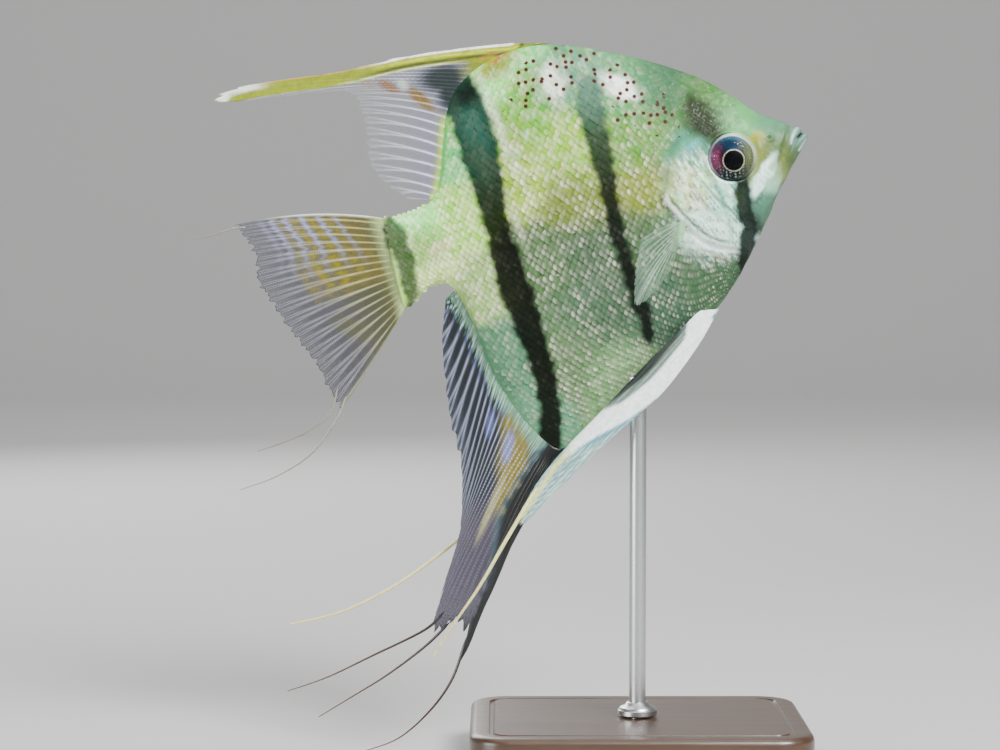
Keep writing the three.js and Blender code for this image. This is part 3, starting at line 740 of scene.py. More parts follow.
WASHES = (
    Wash("nape", 0.70, 0.24, 0.06, "2e633e", 0.04, 0.08),
    Wash("forehead", 0.80, 0.165, 0.05, "487834", 0.04, 0.08),
    Wash("brow", 0.86, 0.10, 0.04, "59a15d", 0.04, 0.08),
    Wash("snout", 0.93, 0.06, 0.03, "4d8261", 0.12, 0.2),
    Wash("snout side", 0.93, 0.0, 0.03, "435a30", 0.12, 0.15),
    Wash("lips", 0.985, 0.01, 0.02, "608679", 0.2, 0.2),
    Wash("before the eye", 0.88, -0.04, 0.03, "7c8c50", 0.2, 0.2),
    Wash("cheek", 0.775, -0.085, 0.035, "86d0b8", 0.5, 0.4),
    Wash("lower cheek", 0.745, -0.15, 0.035, "ccfae6", 0.5, 0.4),
    Wash("gill cover", 0.70, -0.02, 0.035, "b8e890", 0.55, 0.5),
    Wash("upper gill cover", 0.72, 0.05, 0.033, "3a8a6c", 0.25, 0.2),
    Wash("lower gill cover", 0.69, -0.12, 0.03, "ccf8e0", 0.5, 0.4),
    Wash("chin", 0.87, -0.13, 0.03, "365c48", 0.35, 0.3),
    Wash("throat", 0.72, -0.245, 0.035, "3b613e", 0.4, 0.7),
    Wash("breast", 0.66, -0.25, 0.04, "476b47", 0.4, 0.7),
    Wash("shoulder", 0.60, 0.0, 0.04, "85922a", 0.35, 0.8),
    Wash("upper shoulder", 0.62, 0.12, 0.05, "5c9131", 0.12, 0.6),
    Wash("nape side", 0.62, 0.25, 0.05, "4ca057", 0.12, 0.15),
    Wash("back behind the head", 0.60, 0.32, 0.033, "1c7a40", 0.04, 0.08),
    Wash("upper flank", 0.48, 0.30, 0.05, "3a8a58", 0.12, 0.15),
    Wash("gold flank", 0.46, 0.15, 0.06, "95c428", 0.35, 0.6),
    Wash("middle flank", 0.44, 0.03, 0.05, "7b8a33", 0.45, 0.9),
    Wash("lower flank", 0.43, -0.10, 0.05, "496649", 0.5, 1.0),
    Wash("lower flank front", 0.56, -0.12, 0.05, "4f6e47", 0.45, 0.9),
    Wash("belly side", 0.42, -0.25, 0.06, "4e7050", 0.5, 1.0),
    Wash("belly", 0.55, -0.28, 0.05, "43674c", 0.45, 0.9),
    Wash("keel", 0.42, -0.40, 0.05, "80aa6e", 0.45, 0.8),
    Wash("lime flank", 0.38, 0.25, 0.05, "5fab13", 0.25, 0.4),
    Wash("sheath of the dorsal fin", 0.42, 0.39, 0.03, "5ed164", 0.04, 0.15),
    Wash("upper rear flank", 0.33, 0.34, 0.03, "84f66e", 0.25, 0.4),
    Wash("rear flank", 0.32, 0.10, 0.04, "a2c624", 0.45, 0.9),
    Wash("lower rear flank", 0.32, -0.10, 0.05, "557547", 0.5, 1.0),
    Wash("rear belly", 0.31, -0.33, 0.05, "618153", 0.45, 0.9),
    Wash("behind the rear bar, high", 0.19, 0.20, 0.03, "58cb61", 0.2, 0.4),
    Wash("behind the rear bar", 0.17, 0.06, 0.04, "a1df3b", 0.4, 0.8),
    Wash("behind the rear bar, low", 0.17, -0.11, 0.04, "99bd66", 0.45, 0.8),
    Wash("sheath of the anal fin", 0.17, -0.30, 0.05, "4f875f", 0.2, 0.5),
    Wash("tip of the sheath", 0.19, -0.43, 0.04, "5f9b71", 0.2, 0.5),
    Wash("tail stalk, high", 0.08, 0.09, 0.03, "9bf67e", 0.2, 0.4),
    Wash("tail stalk", 0.07, 0.02, 0.03, "8bbd51", 0.4, 0.7),
    Wash("tail stalk, low", 0.07, -0.06, 0.03, "d3f684", 0.4, 0.7),
    Wash("tail fin's base", -0.04, 0.0, 0.04, "b4de75", 0.2, 0.3),
)

PATCHES = (
    Patch(0.466, 0.303, 0.042, 0.03, 84, "f0f8ea", 0.9, 0.5, 0.2),
    Patch(0.614, 0.246, 0.05, 0.025, -44, "f2f8f0", 0.95, 0.5, 0.2),
    Patch(0.40, 0.335, 0.03, 0.05, 80, "8fae3a", 0.4, 0.9),
    Patch(0.535, 0.29, 0.045, 0.06, 0, "5f8f7c", 0.6, 0.9, 0.1),
    Patch(0.575, 0.325, 0.06, 0.025, -20, "5f9a70", 0.6, 0.8, 0.1),
    Patch(0.874, -0.057, 0.06, 0.0175, 45, "dcfff0", 0.98, 0.3, 0.3),
    Patch(0.893, -0.082, 0.03, 0.015, 50, "a8e0c8", 0.7, 0.7),
    Patch(0.893, 0.012, 0.03, 0.018, 60, "787a26", 0.6, 0.8, 0.1),
    Patch(0.885, 0.036, 0.024, 0.013, 10, "8c8a06", 0.85, 0.7, 0.05),
    Patch(0.735, 0.06, 0.026, 0.014, 20, "45a8a6", 0.75, 0.6, 0.1),
    Patch(0.752, 0.035, 0.03, 0.022, 30, "5f9c80", 0.55, 0.8, 0.15),
    Patch(0.695, -0.01, 0.024, 0.032, 10, "d8cc90", 0.7, 0.8),
    Patch(0.715, -0.07, 0.024, 0.02, 0, "e0d4a8", 0.6, 0.8),
    Patch(0.735, -0.14, 0.05, 0.028, -35, "dcfff2", 0.8, 0.6, 0.3),
    Patch(0.93, -0.035, 0.045, 0.01, 50, "6f7a34", 0.5, 0.8),
    Patch(0.866, -0.126, 0.038, 0.022, 50, "4c7862", 0.75, 0.8, 0.15),
    Patch(0.352, 0.386, 0.066, 0.03, 26, "869600", 1.0, 0.45, 0.05),
    Patch(0.36, 0.391, 0.022, 0.006, 20, "a04c10", 0.9, 0.6, 0.05),
    Patch(0.655, 0.02, 0.012, 0.05, 12, "6c7650", 0.5, 0.8),
    Patch(0.62, -0.09, 0.02, 0.035, 20, "5f8a5c", 0.6, 0.8),
    Patch(0.10, 0.01, 0.035, 0.018, 20, "f0deb0", 0.45, 0.8, 0.55),
    Patch(0.33, 0.20, 0.03, 0.08, 8, "a3aa1e", 0.4, 0.9),
    Patch(0.21, 0.27, 0.016, 0.09, 15, "7da82a", 0.5, 0.9),
    Patch(0.311, 0.25, 0.013, 0.13, 8, "d8f0d4", 0.55, 0.9),
    Patch(0.284, 0.06, 0.008, 0.09, 4, "d8d8b4", 0.5, 0.8),
)

STROKES = (
    # Painted shade in the mouth's gape and along the groove behind the upper lip.
    Stroke(GAPE_LINE, 0.0035, "14160e", 0.95, ends=(0.0, 0.45)),
    Stroke(LIP_LINE, 0.004, "4f5a26", 0.6, ends=(0.12, 0.5)),
    # Painted highlights on the upper and lower lip.
    Stroke(((0.985, 0.028), (0.969, 0.016), (0.956, -0.007)), 0.003, "d8f4e6", 0.5),
    Stroke(((0.997, -0.002), (0.984, -0.014), (0.97, -0.026)), 0.003, "d4f4e6", 0.6),
    # Painted highlight along the gill cover's free edge.
    Stroke(GILL_LINE, 0.005, "fafffa", 0.98, shift=0.006, ends=(0.42, 0.56)),
    Stroke(GILL_LINE, 0.006, "f4fffc", 0.98, shift=-0.003, ends=(0.66, 0.9)),
    Stroke(GILL_LINE, 0.0045, "2a3826", 0.85, shift=0.0155, ends=(0.46, 0.84)),
    # Painted shadow under the gill cover's upper rear margin and just outside its free edge.
    Stroke(GILL_LINE, 0.005, "3c5a58", 0.5, shift=-0.004, ends=(0.12, 0.4)),
    Stroke(GILL_LINE, 0.005, "1c3226", 0.85, shift=-0.006, ends=(0.44, 0.64)),
    # Painted shadow along the preopercle's groove.
    Stroke(CHEEK_LINE, 0.005, "7f8e7c", 0.5, ends=(0.1, 0.9)),
    Stroke(((0.745, 0.036), (0.769, -0.033), (0.801, -0.092)), 0.004, "f6fff2", 0.7),
    Stroke(((0.725, -0.02), (0.752, -0.075), (0.785, -0.13)), 0.0035, "4f7468", 0.7),
    Stroke(((0.705, -0.045), (0.73, -0.1), (0.77, -0.16)), 0.0035, "6a7f74", 0.55),
    # Painted shade along the lower jaw's groove.
    Stroke(JAW_LINE, 0.005, "44684f", 0.6, ends=(0.2, 0.8)),
)

BARS = (
    Bar(((0.768, 0.172, 0.014), (0.768, 0.145, 0.031), (0.78, 0.11, 0.04), (0.796, 0.075, 0.028)),
        "1a200c", 0.95, "222a12", 0.024),
    Bar(((0.828, -0.04, 0.019), (0.819, -0.08, 0.02), (0.816, -0.111, 0.023), (0.811, -0.159, 0.023),
         (0.793, -0.202, 0.022), (0.772, -0.26, 0.016)), "0b1710", 0.98, "16281a"),
    Bar(((0.545, 0.275, 0.02), (0.543, 0.255, 0.028), (0.538, 0.23, 0.033), (0.53, 0.17, 0.031),
         (0.526, 0.09, 0.026), (0.519, 0.02, 0.021), (0.511, -0.065, 0.02), (0.508, -0.14, 0.018),
         (0.511, -0.215, 0.02), (0.513, -0.28, 0.02), (0.506, -0.345, 0.012)), "0c130c", 0.97, "24402c"),
    Bar(((0.225, 0.41, 0.045), (0.24, 0.345, 0.05), (0.255, 0.27, 0.047), (0.252, 0.19, 0.046),
         (0.247, 0.10, 0.037), (0.241, 0.02, 0.031), (0.238, -0.07, 0.036), (0.239, -0.15, 0.04),
         (0.243, -0.235, 0.034), (0.245, -0.32, 0.03), (0.24, -0.40, 0.025), (0.222, -0.475, 0.027),
         (0.19, -0.545, 0.036)), "090c06", 0.98, "12352a"),
    Bar(((0.002, 0.112, 0.008), (-0.001, 0.09, 0.02), (0.004, 0.053, 0.026), (0.007, -0.002, 0.024),
         (0.004, -0.052, 0.021), (-0.008, -0.10, 0.014)), "14301a", 0.88, "173a2c"),
)

OVER_BARS = (
    Patch(0.255, 0.265, 0.026, 0.07, 8, "2a5a4a", 0.7, 0.9),
    Patch(0.249, 0.175, 0.018, 0.05, 5, "2f4a34", 0.6, 0.9),
    Patch(0.262, 0.335, 0.04, 0.028, 20, "060d0b", 0.9, 0.8),
    Patch(0.543, 0.275, 0.05, 0.07, 0, "4a7a60", 0.85, 0.9),
    Patch(0.80, -0.08, 0.018, 0.032, 0, "34421a", 0.4, 0.9),
)


@dataclass(frozen=True)
class Coat:
    """What is painted on each place of skin or scale."""

    tint: Array
    gloss: Array
    # Strength of the scales' painted glints.
    glint: Array
    freckle: Array

    def store_on(self, piece: bpy.types.Object) -> None:
        """Writes the paint as attributes of a piece."""
        for name, values in self.named().items():
            store(piece, name, values)

    def named(self) -> dict[str, Array]:
        """The attributes by name."""
        return {"Tint": self.tint, "Gloss": self.gloss, "Glint": self.glint, "Freckle": self.freckle}


@dataclass(frozen=True)
class Markings:
    """The fish's colours, the same on its skin and its scales."""

    blend: float = 1.15
    pressing: float = 495 * MM
    still: tuple[float, float] = (0.143, -0.325)

    def ground(self, x: Array, z: Array) -> tuple[Array, Array, Array]:
        """Colour, gloss and glint blended from the washes."""
        gaps = np.stack([(x - w.x) ** 2 + (z - w.z) ** 2 for w in WASHES])
        reaches = np.array([w.reach * self.blend for w in WASHES])[:, None]
        weights = np.exp(-gaps / reaches**2) + 1e-9 * np.exp(-gaps / 0.09**2)
        weights /= weights.sum(0)
        colours = np.stack([linear(w.colour) for w in WASHES])
        others = np.array([(w.gloss, w.glint) for w in WASHES])
        mixed = weights.T @ others
        return weights.T @ colours, mixed[:, 0], mixed[:, 1]

    def streaked(self, colour: Array, x: Array, z: Array) -> Array:
        """Lime and mint streaks down the upper flank and silvery and rosy ones over the cheek."""
        flank = smooth(0.02, 0.16, z) * smooth(0.72, 0.6, x) * smooth(0.12, 0.2, x)
        lean = x + 0.12 * z
        lime = smooth(0.1, 1.2, wander(lean * 3.2, z * 0.55, 0.05, 61)) * flank
        mint = smooth(0.2, 1.3, wander(lean * 3.0, z * 0.6, 0.045, 62)) * flank
        colour = layered(colour, (0.4 * lime, "9fae1a"), (0.4 * mint, "b7dcb4"))
        cheek = smooth(0.655, 0.69, x) * smooth(0.86, 0.82, x) * smooth(0.07, 0.03, z) * smooth(-0.24, -0.2, z)
        cheek = cheek * smooth(0.825, 0.795, x - 0.3 * (z + 0.15))
        across = (x - 0.76) * 0.93 + (z + 0.06) * 0.36
        down = -(x - 0.76) * 0.36 + (z + 0.06) * 0.93
        silver = smooth(0.0, 0.6, wander(across * 3.4, down * 0.6, 0.035, 63)) * cheek
        rosy = smooth(0.1, 0.8, wander(across * 3.2, down * 0.7, 0.04, 64)) * cheek * smooth(0.79, 0.72, x)
        shade = smooth(0.15, 0.7, wander(across * 3.6, down * 0.6, 0.032, 65)) * cheek
        ragged = smooth(0.0, 0.8, wander(x * 2.6, z * 1.5, 0.03, 66))
        ragged = ragged * Patch(0.876, -0.06, 0.07, 0.03, 45, "000000", 1.0, 0.5).mask(x, z)
        return layered(colour, (0.75 * shade, "3f6457"), (0.45 * rosy, "dcae98"), (0.8 * silver, "d0ffec"),
                       (0.45 * ragged, "79b79c"))

    def paint(self, x: Array, z: Array, out: Array) -> Coat:
        """Colours of places given in shares of the length.

        Args:
            x: places along the fish.
            z: heights of the places.
            out: distances from the mid-plane in metres; the pattern is pressed together where the flank
                stands out.

        Returns:
            The paint of each place.
        """
        press = 1 + np.abs(out) / self.pressing
        strokes = [(stroke.mask(x, z), stroke.colour) for stroke in STROKES]
        x = self.still[0] + (x - self.still[0]) * press
        z = self.still[1] + (z - self.still[1]) * press
        sway_x = x + 0.006 * wander(x, z, 0.05, 1)
        sway_z = z + 0.006 * wander(x, z, 0.05, 2)
        colour, gloss, glint = self.ground(sway_x, sway_z)
        for patch in PATCHES:
            mask = patch.mask(sway_x, sway_z)
            colour = colour + mask[:, None] * (linear(patch.colour) - colour)
            if patch.gloss is not None:
                gloss = gloss + mask * (patch.gloss - gloss)
        colour = self.streaked(colour, x, z)
        colour = layered(colour, *strokes)
        dark = np.zeros(len(x))
        for bar in BARS:
            mask = bar.mask(x, z)
            upper = smooth(0.0, 0.25, z)[:, None]
            shade = linear(bar.colour) * (1 - upper) + linear(bar.upper_colour) * upper
            colour = colour + mask[:, None] * (shade - colour)
            gloss = gloss * (1 - 0.95 * mask)
            glint = glint * (1 - 0.99 * mask)
            dark = np.maximum(dark, mask)
        for patch in OVER_BARS:
            colour = colour + (patch.mask(x, z) * dark)[:, None] * (linear(patch.colour) - colour)
        # Painted glints on the scales come and go in patches.
        glint = glint * (0.35 + 0.75 * smooth(-0.9, 0.9, wander(x * 1.6, z, 0.045, 71)))
        freckle = np.maximum(
            Patch(0.46, 0.32, 0.10, 0.05, 15, "000000", 1.0, 0.5).mask(x, z),
            Patch(0.633, 0.21, 0.115, 0.05, -50, "000000", 1.0, 0.5).mask(x, z),
        )
        return Coat(colour, gloss, glint, freckle)


@dataclass(frozen=True)
class SkinFinish:
    """Wet skin and scales: their markings, mottling, freckles and shine, with the scales' painted shade and glints."""

    name: str = "wet_skin"
    roughness: float = 0.42
    coat: float = 0.05
    specular: float = 0.14
    scaled: bool = False
    freckle_pitch: float = 1.35 * MM

    def freckles(self, shader: Shader) -> bpy.types.NodeSocket:
        """Share of freckle colour, from small round cells that only the nape's places keep."""
        parts = shader.node("SeparateXYZ", {0: shader.place()}).outputs
        flat = shader.node("CombineXYZ", {0: parts[0], 1: parts[2]}).outputs[0]
        sockets = {"Vector": flat, "Scale": 1 / self.freckle_pitch, "Randomness": 0.85}
        cells = shader.node("TexVoronoi", sockets, voronoi_dimensions="2D")
        dot = shader.ramp(cells.outputs["Distance"], (0.22, 1), (0.32, 0))
        pick = shader.node("SeparateColor", {0: cells.outputs["Color"]}).outputs[0]
        kept = shader.maths("LESS_THAN", pick, shader.maths("MULTIPLY", shader.attribute("Freckle"), 0.48))
        return shader.maths("MULTIPLY", dot, kept)

    def make(self) -> bpy.types.Material:
        """The finished material."""
        shader = Shader(self.name)
        tint = shader.attribute("Tint", "Color")
        gloss = shader.attribute("Gloss")
        mottle = shader.ramp(shader.noise(900, 4), (0.3, 0.8), (0.7, 1.0))
        colour = shader.mix(1.0, tint, mottle, "MULTIPLY")
        fine = shader.noise(5200, 2)
        if self.scaled:
            colour = self.scale_colour(shader, colour)
        colour = shader.mix(self.freckles(shader), colour, (0.05, 0.013, 0.009, 1))
        normal = shader.bump(fine, 0.25, 0.03 * MM)
        normal = shader.bump(shader.noise(1500, 3), 0.3, 0.06 * MM, normal)
        return shader.surface(
            Base_Color=colour,
            Metallic=shader.maths("MULTIPLY", gloss, 0.4),
            Roughness=shader.maths("ADD", shader.maths("MULTIPLY", shader.noise(2500, 2), 0.2),
                                   self.roughness - 0.1),
            Specular_IOR_Level=self.specular,
            Coat_Weight=self.coat,
            Coat_Roughness=0.12,
            Normal=normal,
        )

    def scale_colour(self, shader: Shader, colour: bpy.types.NodeSocket) -> bpy.types.NodeSocket:
        """Painted shade where it comes out from under the next scale, with a painted pale highlight crescent by the
        free edge.
        """
        lie = shader.node("UVMap", uv_map="Lie").outputs[0]
        parts = shader.node("SeparateXYZ", {0: lie}).outputs
        glint = shader.attribute("Glint")
        chance = shader.attribute("Chance")
        # Painted glint: a pale highlight crescent across the middle of the scale, by its free edge.
        middle = shader.ramp(parts[1], (0.08, 0.0), (0.36, 1.0), (0.64, 1.0), (0.92, 0.0))
        crescent = shader.ramp(parts[0], (0.6, 0.0), (0.78, 1.0), (0.93, 1.0), (1.02, 0.25))
        # Painted shade: darker at the root, where the scale comes out from under the next one, and darker at the rim.
        shade = shader.ramp(parts[0], (0.35, 0.4), (0.66, 0.7), (0.8, 0.97), (0.94, 0.97), (1.0, 0.7))
        dark = shader.mix(1.0, colour, shade, "MULTIPLY")
        colour = shader.mix(shader.maths("MULTIPLY", glint, 0.85), colour, dark)
        painted_glint = shader.maths("MULTIPLY", shader.maths("MULTIPLY", middle, crescent), glint)
        patchy = shader.ramp(shader.noise(170, 2), (0.4, 0.25), (0.6, 1.0))
        spread = shader.maths("MULTIPLY_ADD", shader.maths("POWER", chance, 1.6), 0.9, 0.05)
        painted_glint = shader.maths("MULTIPLY", painted_glint, shader.maths("MULTIPLY", spread, patchy))
        pale = shader.mix(0.52, colour, (0.98, 0.96, 0.7, 1))
        colour = shader.mix(painted_glint, colour, pale)
        tone = shader.node("HueSaturation", {
            "Hue": shader.maths("MULTIPLY_ADD", chance, -0.03, 0.515),
            "Saturation": shader.maths("MULTIPLY_ADD", chance, -0.3, 1.0),
            "Value": shader.maths("MULTIPLY_ADD", chance, 0.22, 0.88),
            "Color": colour,
        })
        return tone.outputs[0]


@dataclass(frozen=True)
class Skin:
    """The one skin of head, trunk, stalk, jaws and gill covers."""

    body: Body
    markings: Markings
    around: int = 340
    along: int = 230
    head_rows: float = 0.5
    head_place: float = 0.38
    snout_share: float = 0.02
    snout_bulge: float = 0.45 * MM

    def stretch(self, share: Array) -> tuple[Array, Array]:
        """Place on the body and shrink of the ring for a share up the grid."""
        cap = self.snout_share
        inner = np.clip((share - cap) / (1 - 2 * cap), 0, 1)
        head = inner < self.head_rows
        place = np.where(head, inner * self.head_place / self.head_rows,
                         self.head_place + (inner - self.head_rows) * (1 - self.head_place) / (1 - self.head_rows))
        cut = np.clip(np.minimum(share, 1 - share) / cap, 0, 1)
        return place, np.sin(cut * math.pi / 2)

    def base(self, across: Array, share: Array) -> Array:
        """Points of the smooth body for shares round and along it."""
        place, shrink = self.stretch(np.clip(share, 0, 1))
        ring = self.body.surface(place, across * 2 * math.pi, self.body.coat_depth)
        back, belly, _, _ = self.body.station(place)
        middle = (back + belly) / 2
        centre = np.stack([middle[:, 0], np.zeros(len(across)), middle[:, 1]], -1)
        points = centre + (ring - centre) * shrink[:, None]
        out = self.snout_bulge * np.sqrt(np.clip(1 - shrink**2, 0, 1))
        points[:, 0] += np.where(share < 0.5, out, -out)
        return points

    def shape(self, across: Array, share: Array) -> tuple[Array, dict[str, Array]]:
        """Folded points and the markings on them."""
        points = self.base(across, share)
        step = 1e-3
        side = self.base((across + step) % 1, share) - self.base((across - step) % 1, share)
        ahead = self.base(across, share + step) - self.base(across, share - step)
        normal = np.cross(side, ahead)
        normal /= np.maximum(np.linalg.norm(normal, axis=1, keepdims=True), 1e-12)
        middle = self.body.fish.length * 0.4
        out = np.sign((normal * (points - np.array([middle, 0, 0]))).sum(1))
        facing = np.where(np.abs(points[:, 1]) > 0.3 * MM, np.sign(normal[:, 1] * points[:, 1]), out)
        normal *= facing[:, None]
        x, z = points[:, 0] / self.body.fish.length, points[:, 2] / self.body.fish.length
        lift = self.body.relief(x, z)
        folded = points + normal * lift[:, None]
        seam = np.abs(np.sin(across * 2 * math.pi)) < 1e-6
        folded[seam, 1] = 0
        return self.body.fish.placed(folded), self.markings.paint(x, z, points[:, 1]).named()

    def build(self) -> None:
        """Builds the skin and dresses it."""
        piece = grid_piece("skin", self.around, self.along, self.shape)
        finish_piece(
            piece, SkinFinish().make(), "skin", "head", "trunk", "tail_stalk", "upper_jaw", "lower_jaw",
            "gill_cover_right", "gill_cover_left",
        )


@dataclass(frozen=True)
class Scales:
    """The overlapping scales of one flank, as one joined mesh."""

    body: Body
    markings: Markings
    column_pitch: float = 1.2 * MM
    row_pitch: float = 0.8 * MM
    dome: float = 0.035 * MM
    lift: float = 0.2 * MM
    root_depth: float = 0.06 * MM
    underside: float = 0.22 * MM
    patch: float = 0.003
    margin: float = 1.0 * MM

    def size(self, x: Array, z: Array) -> Array:
        """Size of the scales at places, beside those of the mid flank."""
        _, rise = self.body.locate(x, z)
        edge = 0.66 + 0.34 * smooth(0.0, 0.22, rise) * smooth(0.0, 0.18, 1 - rise)
        front = 1 - 0.4 * smooth(0.6, 0.74, x)
        rear = 1 - 0.22 * smooth(0.2, 0.05, x)
        return edge * front * rear

    def roots(self) -> tuple[Array, Array, Array]:
        """Where the scales are rooted, in shares of the length, and how large each is."""
        length = self.body.fish.length
        x = 0.9
        columns: list[tuple[Array, Array, Array]] = []
        heights = np.linspace(-0.6, 0.46, 260)
        odd = 0
        while x > -0.02:
            size = self.size(np.full(heights.shape, x), heights)
            count = np.concatenate([[0], np.cumsum(np.diff(heights) / (self.row_pitch / length * size[1:]))])
            count -= np.interp(0.0, heights, count)
            low = math.ceil((count[0] - odd) / 2)
            high = math.floor((count[-1] - odd) / 2)
            picks = np.interp(2 * np.arange(low, high + 1) + odd, count, heights)
            columns.append((np.full(picks.shape, x), picks, np.interp(picks, heights, size)))
            middle = float(np.interp(0.0, heights, size))
            x -= self.column_pitch / length / 2 * middle
            odd = 1 - odd
        x_all, z_all, size_all = (np.concatenate([column[k] for column in columns]) for k in range(3))
        return x_all, z_all, size_all

    def kept(self, x: Array, z: Array, size: Array) -> Array:
        """True where a scale belongs: clear of the eye, the snout, the lips and the head's creases."""
        length = self.body.fish.length
        _, rise = self.body.locate(x, z)
        tip_x = x - 1.3 * self.column_pitch / length * size
        _, tip_rise = self.body.locate(tip_x, z)
        inside = (rise > 0.012) & (rise < 0.985) & (tip_rise > 0.012) & (tip_rise < 0.985) & (tip_x > -0.022)
        eye = self.body.fish.eye
        away = np.hypot((x + tip_x) / 2 - eye[0], z - eye[1]) * length
        clear = away > self.body.socket.radius + 0.9 * MM
        for line in (GILL_LINE, CHEEK_LINE):
            root_gap, root_side, root_share = nearest_on(line, x, z)
            tip_gap, tip_side, _ = nearest_on(line, tip_x, z)
            near = (root_gap < 0.03) & (root_share > 0.02) & (root_share < 0.99)
            rim = self.margin / length * 0.5
            clear &= ~(near & ((root_side != tip_side) | (tip_gap < rim) | (root_gap < rim)))
        snout = (x > 0.86) | ((x > 0.835) & (z < 0.06))
        return inside & clear & ~snout

    def template(self) -> tuple[Array, Array, Array, Array, Array]:
        """One scale: along (0 root, 1 tip), across (-1 to 1), height share, faces and rim order."""
        rows = (0.0, 0.4, 0.7, 0.9, 1.0)
        widths = (0.55, 0.95, 0.98, 0.76, 0.38)
        along = []
        across = []
        height = []
        for row, width in zip(rows, widths):
            for spot in (-1.0, -0.5, 0.0, 0.5, 1.0):
                back = 0.1 * (1 - spot**2) if row == 1.0 else 0.06 * (1 - spot**2) * row
                along.append(row - 0.06 + back)
                across.append(spot * width)
                height.append(1 - 0.9 * spot**2)
        quads = [(5 * i + j, 5 * i + j + 1, 5 * i + j + 6, 5 * i + j + 5) for i in range(4) for j in range(4)]
        rim = [0, 1, 2, 3, 4, 9, 14, 19, 24, 23, 22, 21, 20, 15, 10, 5]
        return np.array(along), np.array(across), np.array(height), np.array(quads), np.array(rim)

    def outward(self, x: Array, z: Array) -> Array:
        """Unit normals of the smooth flank on the +Y side, at shares of the length."""
        step = 0.002
        length = self.body.fish.length

        def reach(at_x: Array, at_z: Array) -> Array:
            """Distance of the smooth flank from the mid-plane."""
            place, rise = self.body.locate(at_x, at_z)
            _, _, half, keel = self.body.station(place)
            return self.body.reach(half, keel, np.clip(rise, 0.004, 0.996))

        slope_x = (reach(x + step, z) - reach(x - step, z)) / (2 * step * length)
        slope_z = (reach(x, z + step) - reach(x, z - step)) / (2 * step * length)
        normal = np.stack([-slope_x, np.ones(x.shape), -slope_z], -1)
        return normal / np.linalg.norm(normal, axis=-1, keepdims=True)

    def lie(self, x: Array, z: Array, dice: np.random.Generator) -> Array:
        """How far each scale's tip turns up from pointing straight back, in radians."""
        _, rise = self.body.locate(x, z)
        sheath = smooth(0.7, 1.0, rise) * 55 - smooth(0.35, 0.0, rise) * 50
        return np.radians(sheath * smooth(0.62, 0.35, x) + dice.normal(0, 4, len(x)))

    def laid(self, x: Array, z: Array, size: Array, dice: np.random.Generator) -> Array:
        """Points of every scale, on the +Y side: its upper face and the point under its middle."""
        length = self.body.fish.length
        along, across, height, _, _ = self.template()
        turn = self.lie(x, z, dice)
        long = 1.62 * self.column_pitch / length * size
        wide = 1.04 * self.row_pitch / length * size
        cos, sin = np.cos(turn)[:, None], np.sin(turn)[:, None]
        step = (along[None, :] - 0.35) * long[:, None]
        sway = across[None, :] * wide[:, None]
        px = x[:, None] - step * cos + sway * sin
        pz = z[:, None] + step * sin + sway * cos
        flank = self.body.flank(px.ravel(), pz.ravel()).reshape(px.shape)
        normal = self.outward(x, z)
        _, rise = self.body.locate(x, z)
        soft = (size * (0.35 + 0.65 * smooth(0.0, 0.08, np.minimum(rise, 1 - rise))))[:, None]
        face = smooth(0.76, 0.66, x)[:, None] * 0.5 + 0.5
        raised = self.lift * (1 + 0.2 * dice.normal(0, 1, (len(x), 1)))
        roll = dice.normal(0, 0.022, (len(x), 1)) * MM * across[None, :]
        rise_by = (raised * np.clip(along, 0, 1.1)[None, :] + self.dome * height[None, :]) * soft * face
        rise_by = rise_by + roll - self.root_depth
        flat = np.stack([px * length, flank, pz * length], -1)
        top = flat + normal[:, None, :] * rise_by[..., None]
        top[..., 1] = np.maximum(top[..., 1], 0.02 * MM)
        under = flat.mean(1) - normal * self.underside
        under[:, 1] = np.maximum(under[:, 1], 0.01 * MM)
        return np.concatenate([top, under[:, None, :]], 1)

    def build(self, side: int) -> None:
        """Builds the scales of one side, -1 for the right and 1 for the left."""
        x, z, size = self.roots()
        keep = self.kept(x, z, size)
        x, z, size = x[keep], z[keep], size[keep]
        dice = np.random.default_rng(7 + side)
        points = self.laid(x, z, size, dice)
        points[..., 1] *= side
        count, per, _ = points.shape
        _, _, _, quads, rim = self.template()
        base = (np.arange(count) * per)[:, None, None]
        fan = np.stack([rim, np.roll(rim, 1), np.full(len(rim), per - 1)], -1)
        order = 1 if side > 0 else -1
        quad_faces = (quads[:, ::order] + base).reshape(-1, 4)
        fan_faces = (fan[:, ::order] + base).reshape(-1, 3)
        mesh = bpy.data.meshes.new("scales_" + ("left" if side > 0 else "right"))
        mesh.from_pydata(
            self.body.fish.placed(points.reshape(-1, 3)).tolist(), [], quad_faces.tolist() + fan_faces.tolist()
        )
        piece = bpy.data.objects.new(mesh.name, mesh)
        bpy.context.scene.collection.objects.link(piece)
        self.dress(piece, x, z, points, dice, side)

